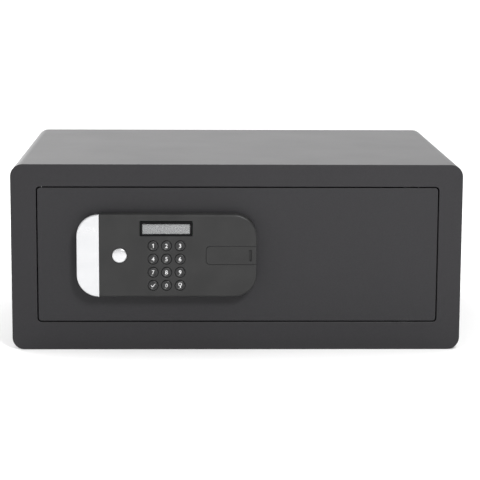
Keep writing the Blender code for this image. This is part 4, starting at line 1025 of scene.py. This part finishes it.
def make_numeral(name, text, centre, size):
    """A raised numeral on a key's dished middle."""
    bpy.ops.object.select_all(action="DESELECT")
    bpy.ops.object.text_add(rotation=(math.pi / 2, 0, 0))
    words = bpy.context.object
    words.data.body = text
    words.data.size = size
    words.data.extrude = 0.06 * MM
    words.data.offset = 0.05 * MM
    words.data.resolution_u = 4
    bpy.ops.object.convert(target="MESH")
    numeral = settle(name)
    clean(numeral)
    corners = [vert.co for vert in numeral.data.vertices]
    low = Vector(min(corner[i] for corner in corners) for i in range(3))
    high = Vector(max(corner[i] for corner in corners) for i in range(3))
    numeral.data.transform(Matrix.Translation(centre - (low + high) / 2))
    return numeral


def stroke(name, centre, start, stop, width, thicker=1.0):
    """A flat round-ended bar that faces the user, between two (x, z) points in millimetres."""
    start, stop = (centre + Vector((x, 0, z)) * MM for x, z in (start, stop))
    span = stop - start
    size = (span.length + width * MM, LEGEND_THICK * thicker, width * MM)
    turn = (0, -math.atan2(span.z, span.x), 0)
    bpy.ops.object.select_all(action="DESELECT")
    bpy.ops.mesh.primitive_cube_add(size=1, location=(start + stop) / 2, rotation=turn, scale=size)
    bar = settle(name)
    bevel_edges(bar, along("Y"), width * MM * 0.42, 3)
    return bar


def make_one(centre):
    """The numeral one: an upright with a short flag."""
    upright = stroke("legend_1", centre, (0.35, 1.9), (0.35, -1.9), 0.72)
    flag = stroke("one_flag", centre, (0.35, 1.9), (-0.85, 1.1), 0.6, 1.02)
    return clean(boolean(upright, flag, "UNION"))


def make_tick(centre):
    short = stroke("tick_short", centre, (-2.1, -0.1), (-0.7, -1.6), 0.66)
    long = stroke("legend_enter", centre, (-0.7, -1.6), (2.1, 1.7), 0.66)
    return clean(boolean(long, short, "UNION"))


def make_key_sign(centre):
    """A little key standing on its tip: ring, stem and two teeth."""
    half = 0.06
    profile = [(1.2, -half), (1.85, -half), (1.85, half), (1.2, half), (1.2, -half)]
    sign = turned("legend_code", profile, centre + AXES["Z"] * 1.2 * MM, steps=32)
    boolean(sign, stroke("key_stem", centre, (0, -0.3), (0, -2.4), 0.6, 1.02), "UNION")
    for number, height in enumerate((-2.2, -1.25)):
        tooth = stroke(f"key_tooth_{number}", centre, (0, height), (0.9, height), 0.45, 1.04)
        boolean(sign, tooth, "UNION")
    return clean(sign)


def make_legends():
    """Light numerals and signs that stand slightly proud of the keys."""
    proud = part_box("lock_housing")[0].y - 0.46 * MM
    for name in KEY_NODES:
        centre = centre_at(name, proud)
        word = name.replace("key_", "")
        if word == "enter":
            legend = make_tick(centre)
        elif word == "code":
            legend = make_key_sign(centre)
        elif word == "1":
            legend = make_one(centre)
        else:
            size = 5.4 * MM if word == "0" else 6.3 * MM
            legend = make_numeral("legend_" + word, word, centre, size)
        fit(legend, name, "silicone")


def make_keyhole_cap():
    """The domed cap over the keyhole, with a rolled rim and a spigot behind."""
    low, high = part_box("keyhole_cap")
    radius = (high.x - low.x) / 2 / MM
    dome = [(share * (radius - 0.9), 0.3 * share ** 2.5) for share in (0, 0.2, 0.4, 0.6, 0.75, 0.9, 1)]
    profile = dome + arc_profile(radius - 0.8, 1.4, 0.8, -80, 0, 5)
    deep = (high.y - low.y) / MM
    profile += [(radius, 3.4), (6.0, 3.4), (6.0, 5.8), (5.6, deep), (0, deep)]
    cap = turned("keyhole_cap_disc", profile, centre_at("keyhole_cap", low.y), steps=72)
    fit(smooth(cap, 35), "keyhole_cap", "chrome", "keyhole_cap")


def make_power_socket():
    """The emergency power socket: a shell with a slot-shaped mouth and a contact tongue."""
    low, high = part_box("power_socket")
    shell = rounded_block("power_port", low, high, 1.0 * MM, segments=4)
    middle = (low + high) / 2
    mouth = box_about(middle, 4.3, 1.6, low.y - MM, high.y - 3.5 * MM)
    boolean(shell, rounded_block("port_mouth", *mouth, 1.55 * MM, segments=6))
    tongue = box_about(middle, 3.1, 0.35, low.y + 0.6 * MM, high.y - 3.0 * MM)
    boolean(shell, block("port_tongue", *tongue), "UNION")
    soften(clean(shell), 0.15 * MM, 2)
    fit(shell, "door", "gloss_plastic", "power_socket")


def make_override_lock():
    """Barrel, nut and plug; the plug shows its keyway when the cap is off."""
    refined("lock_cylinder", "door", "zinc", 0.25 * MM)
    refined("cylinder_nut", "door", "brass", 0.4 * MM)
    refined("key_plug", "key_plug", "brass", 0.2 * MM)


# ------------------------------------------------------------------ bolt work
def make_bolts():
    """Turned bolts with a rounded nose and a tool mark behind it, modelled once and copied."""
    low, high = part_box("lock_bolt_lower")
    middle = centre_of("lock_bolt_lower")
    length = (high.x - low.x) / MM
    profile = [(0, 0), (7.4, 0)] + arc_profile(7.6, 2.4, 2.4, -90, 0, 6)
    profile += [(10, 16.0), (9.85, 16.15), (9.85, 16.45), (10, 16.6)]
    profile += [(10, length - 0.6), (9.4, length), (0, length)]
    bolt = turned("round_bolt_lower", profile, Vector((low.x, middle.y, middle.z)), "X", 64)
    smooth(bolt, 35)
    upper = copied(bolt, "round_bolt_upper", centre_of("lock_bolt_upper") - middle)
    fit(bolt, "bolt_work", "zinc", "lock_bolt_lower")
    fit(upper, "bolt_work", "zinc", "lock_bolt_upper")


def make_bolt_work():
    refined("bolt_carriage", "bolt_work", "zinc", 0.25 * MM)
    refined("bolt_guide", "door", "zinc", 0.4 * MM)
    for name in ("guide_post_lower", "guide_post_upper"):
        refined(name, "door", "zinc", 0.25 * MM)
    refined("drive_pinion", "drive_pinion", "brass", 0.12 * MM, 1, 50)
    refined("gearbox", "door", "black_plastic", 0.5 * MM)
    refined("motor", "door", "zinc", 0.4 * MM)


# ------------------------------------------------------------------ electrics
def make_batteries():
    """Four round cells with their raised contacts, and the tub that holds them."""
    low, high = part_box("battery_cells")
    radius = (high.y - low.y) / 2
    height = (high.z - low.z) / MM
    edge = radius / MM
    profile = [(0, 0), (edge - 0.9, 0), (edge - 0.15, 0.5), (edge - 0.15, height - 2.2)]
    profile += [(edge - 0.8, height - 1.6), (2.9, height - 1.5), (2.75, height - 0.1)]
    profile += [(2.5, height), (0, height)]
    start = Vector((low.x + radius, (low.y + high.y) / 2, low.z))
    cell = turned("battery_cell_0", profile, start, "Z", 40)
    cells = [cell]
    pitch = (high.x - low.x - 2 * radius) / 3
    for number in range(1, 4):
        cells.append(copied(cell, f"battery_cell_{number}", Vector((number * pitch, 0, 0))))
    fit(smooth(merged("battery_cells_finished", cells), 35), "door", "battery_skin", "battery_cells")
    refined("battery_box", "door", "black_plastic", 0.3 * MM)


def make_boards():
    """The control board with its parts; the keypad's board and mat keep their plain shapes."""
    refined("control_board", "door", "circuit_board", 0.2 * MM, 1)
    refined("keypad_board", "door", "circuit_board", 0.15 * MM, 1)
    refined("keypad_membrane", "door", "silicone", 0.3 * MM)
    chips = []
    face = at(0, BOARD_FACE, 0).y
    for number, (x, z, wide, tall) in enumerate(CHIPS):
        body = box_about(at(x, 0, z), wide / 2, tall / 2, face, face + 1.2 * MM)
        chips.append(block(f"chip_{number}", *body))
    profile = [(0, 0), (1.8, 0), (2.0, 0.2), (2.0, 5.6), (1.7, 6.0), (0, 6.0)]
    for number in range(6):
        chips.append(turned(f"can_{number}", profile, at(-4 + 5 * number, BOARD_FACE, 104), "Y", 24))
    parts = merged("board_parts", chips)
    soften(parts, 0.15 * MM, 1)
    fit(parts, "door", "gloss_plastic")


def finish_leads():
    """The leads keep their shape and get a cable skin."""
    for name in ("motor_lead", "battery_lead", "keypad_cable"):
        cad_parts[name].material_slots[0].material = FINISHES["lead_skin"]


# ------------------------------------------------------------------ assembly
make_finishes()
make_camera()
make_studio()
make_lamp("key_light", (0.5, -1.5, 1.15), (0, -0.19, 0.1), 0.5, 27.0)
make_lamp("back_light", (-1.2, 1.4, 1.0), (0, 0.1, 0.2), 1.2, 18.0)
make_floor()
make_cabinet_skin()
make_back_panel()
make_felt_mat()
make_hinges()
make_strike()
make_door_skin()
make_dog_bar()
make_liner()
make_liner_screws()
make_battery_cover()
make_reset_button()
make_keypad_housing()
make_service_cover()
make_pull_grip()
make_display()
make_keys()
make_legends()
make_keyhole_cap()
make_power_socket()
make_override_lock()
make_bolts()
make_bolt_work()
make_batteries()
make_boards()
finish_leads()
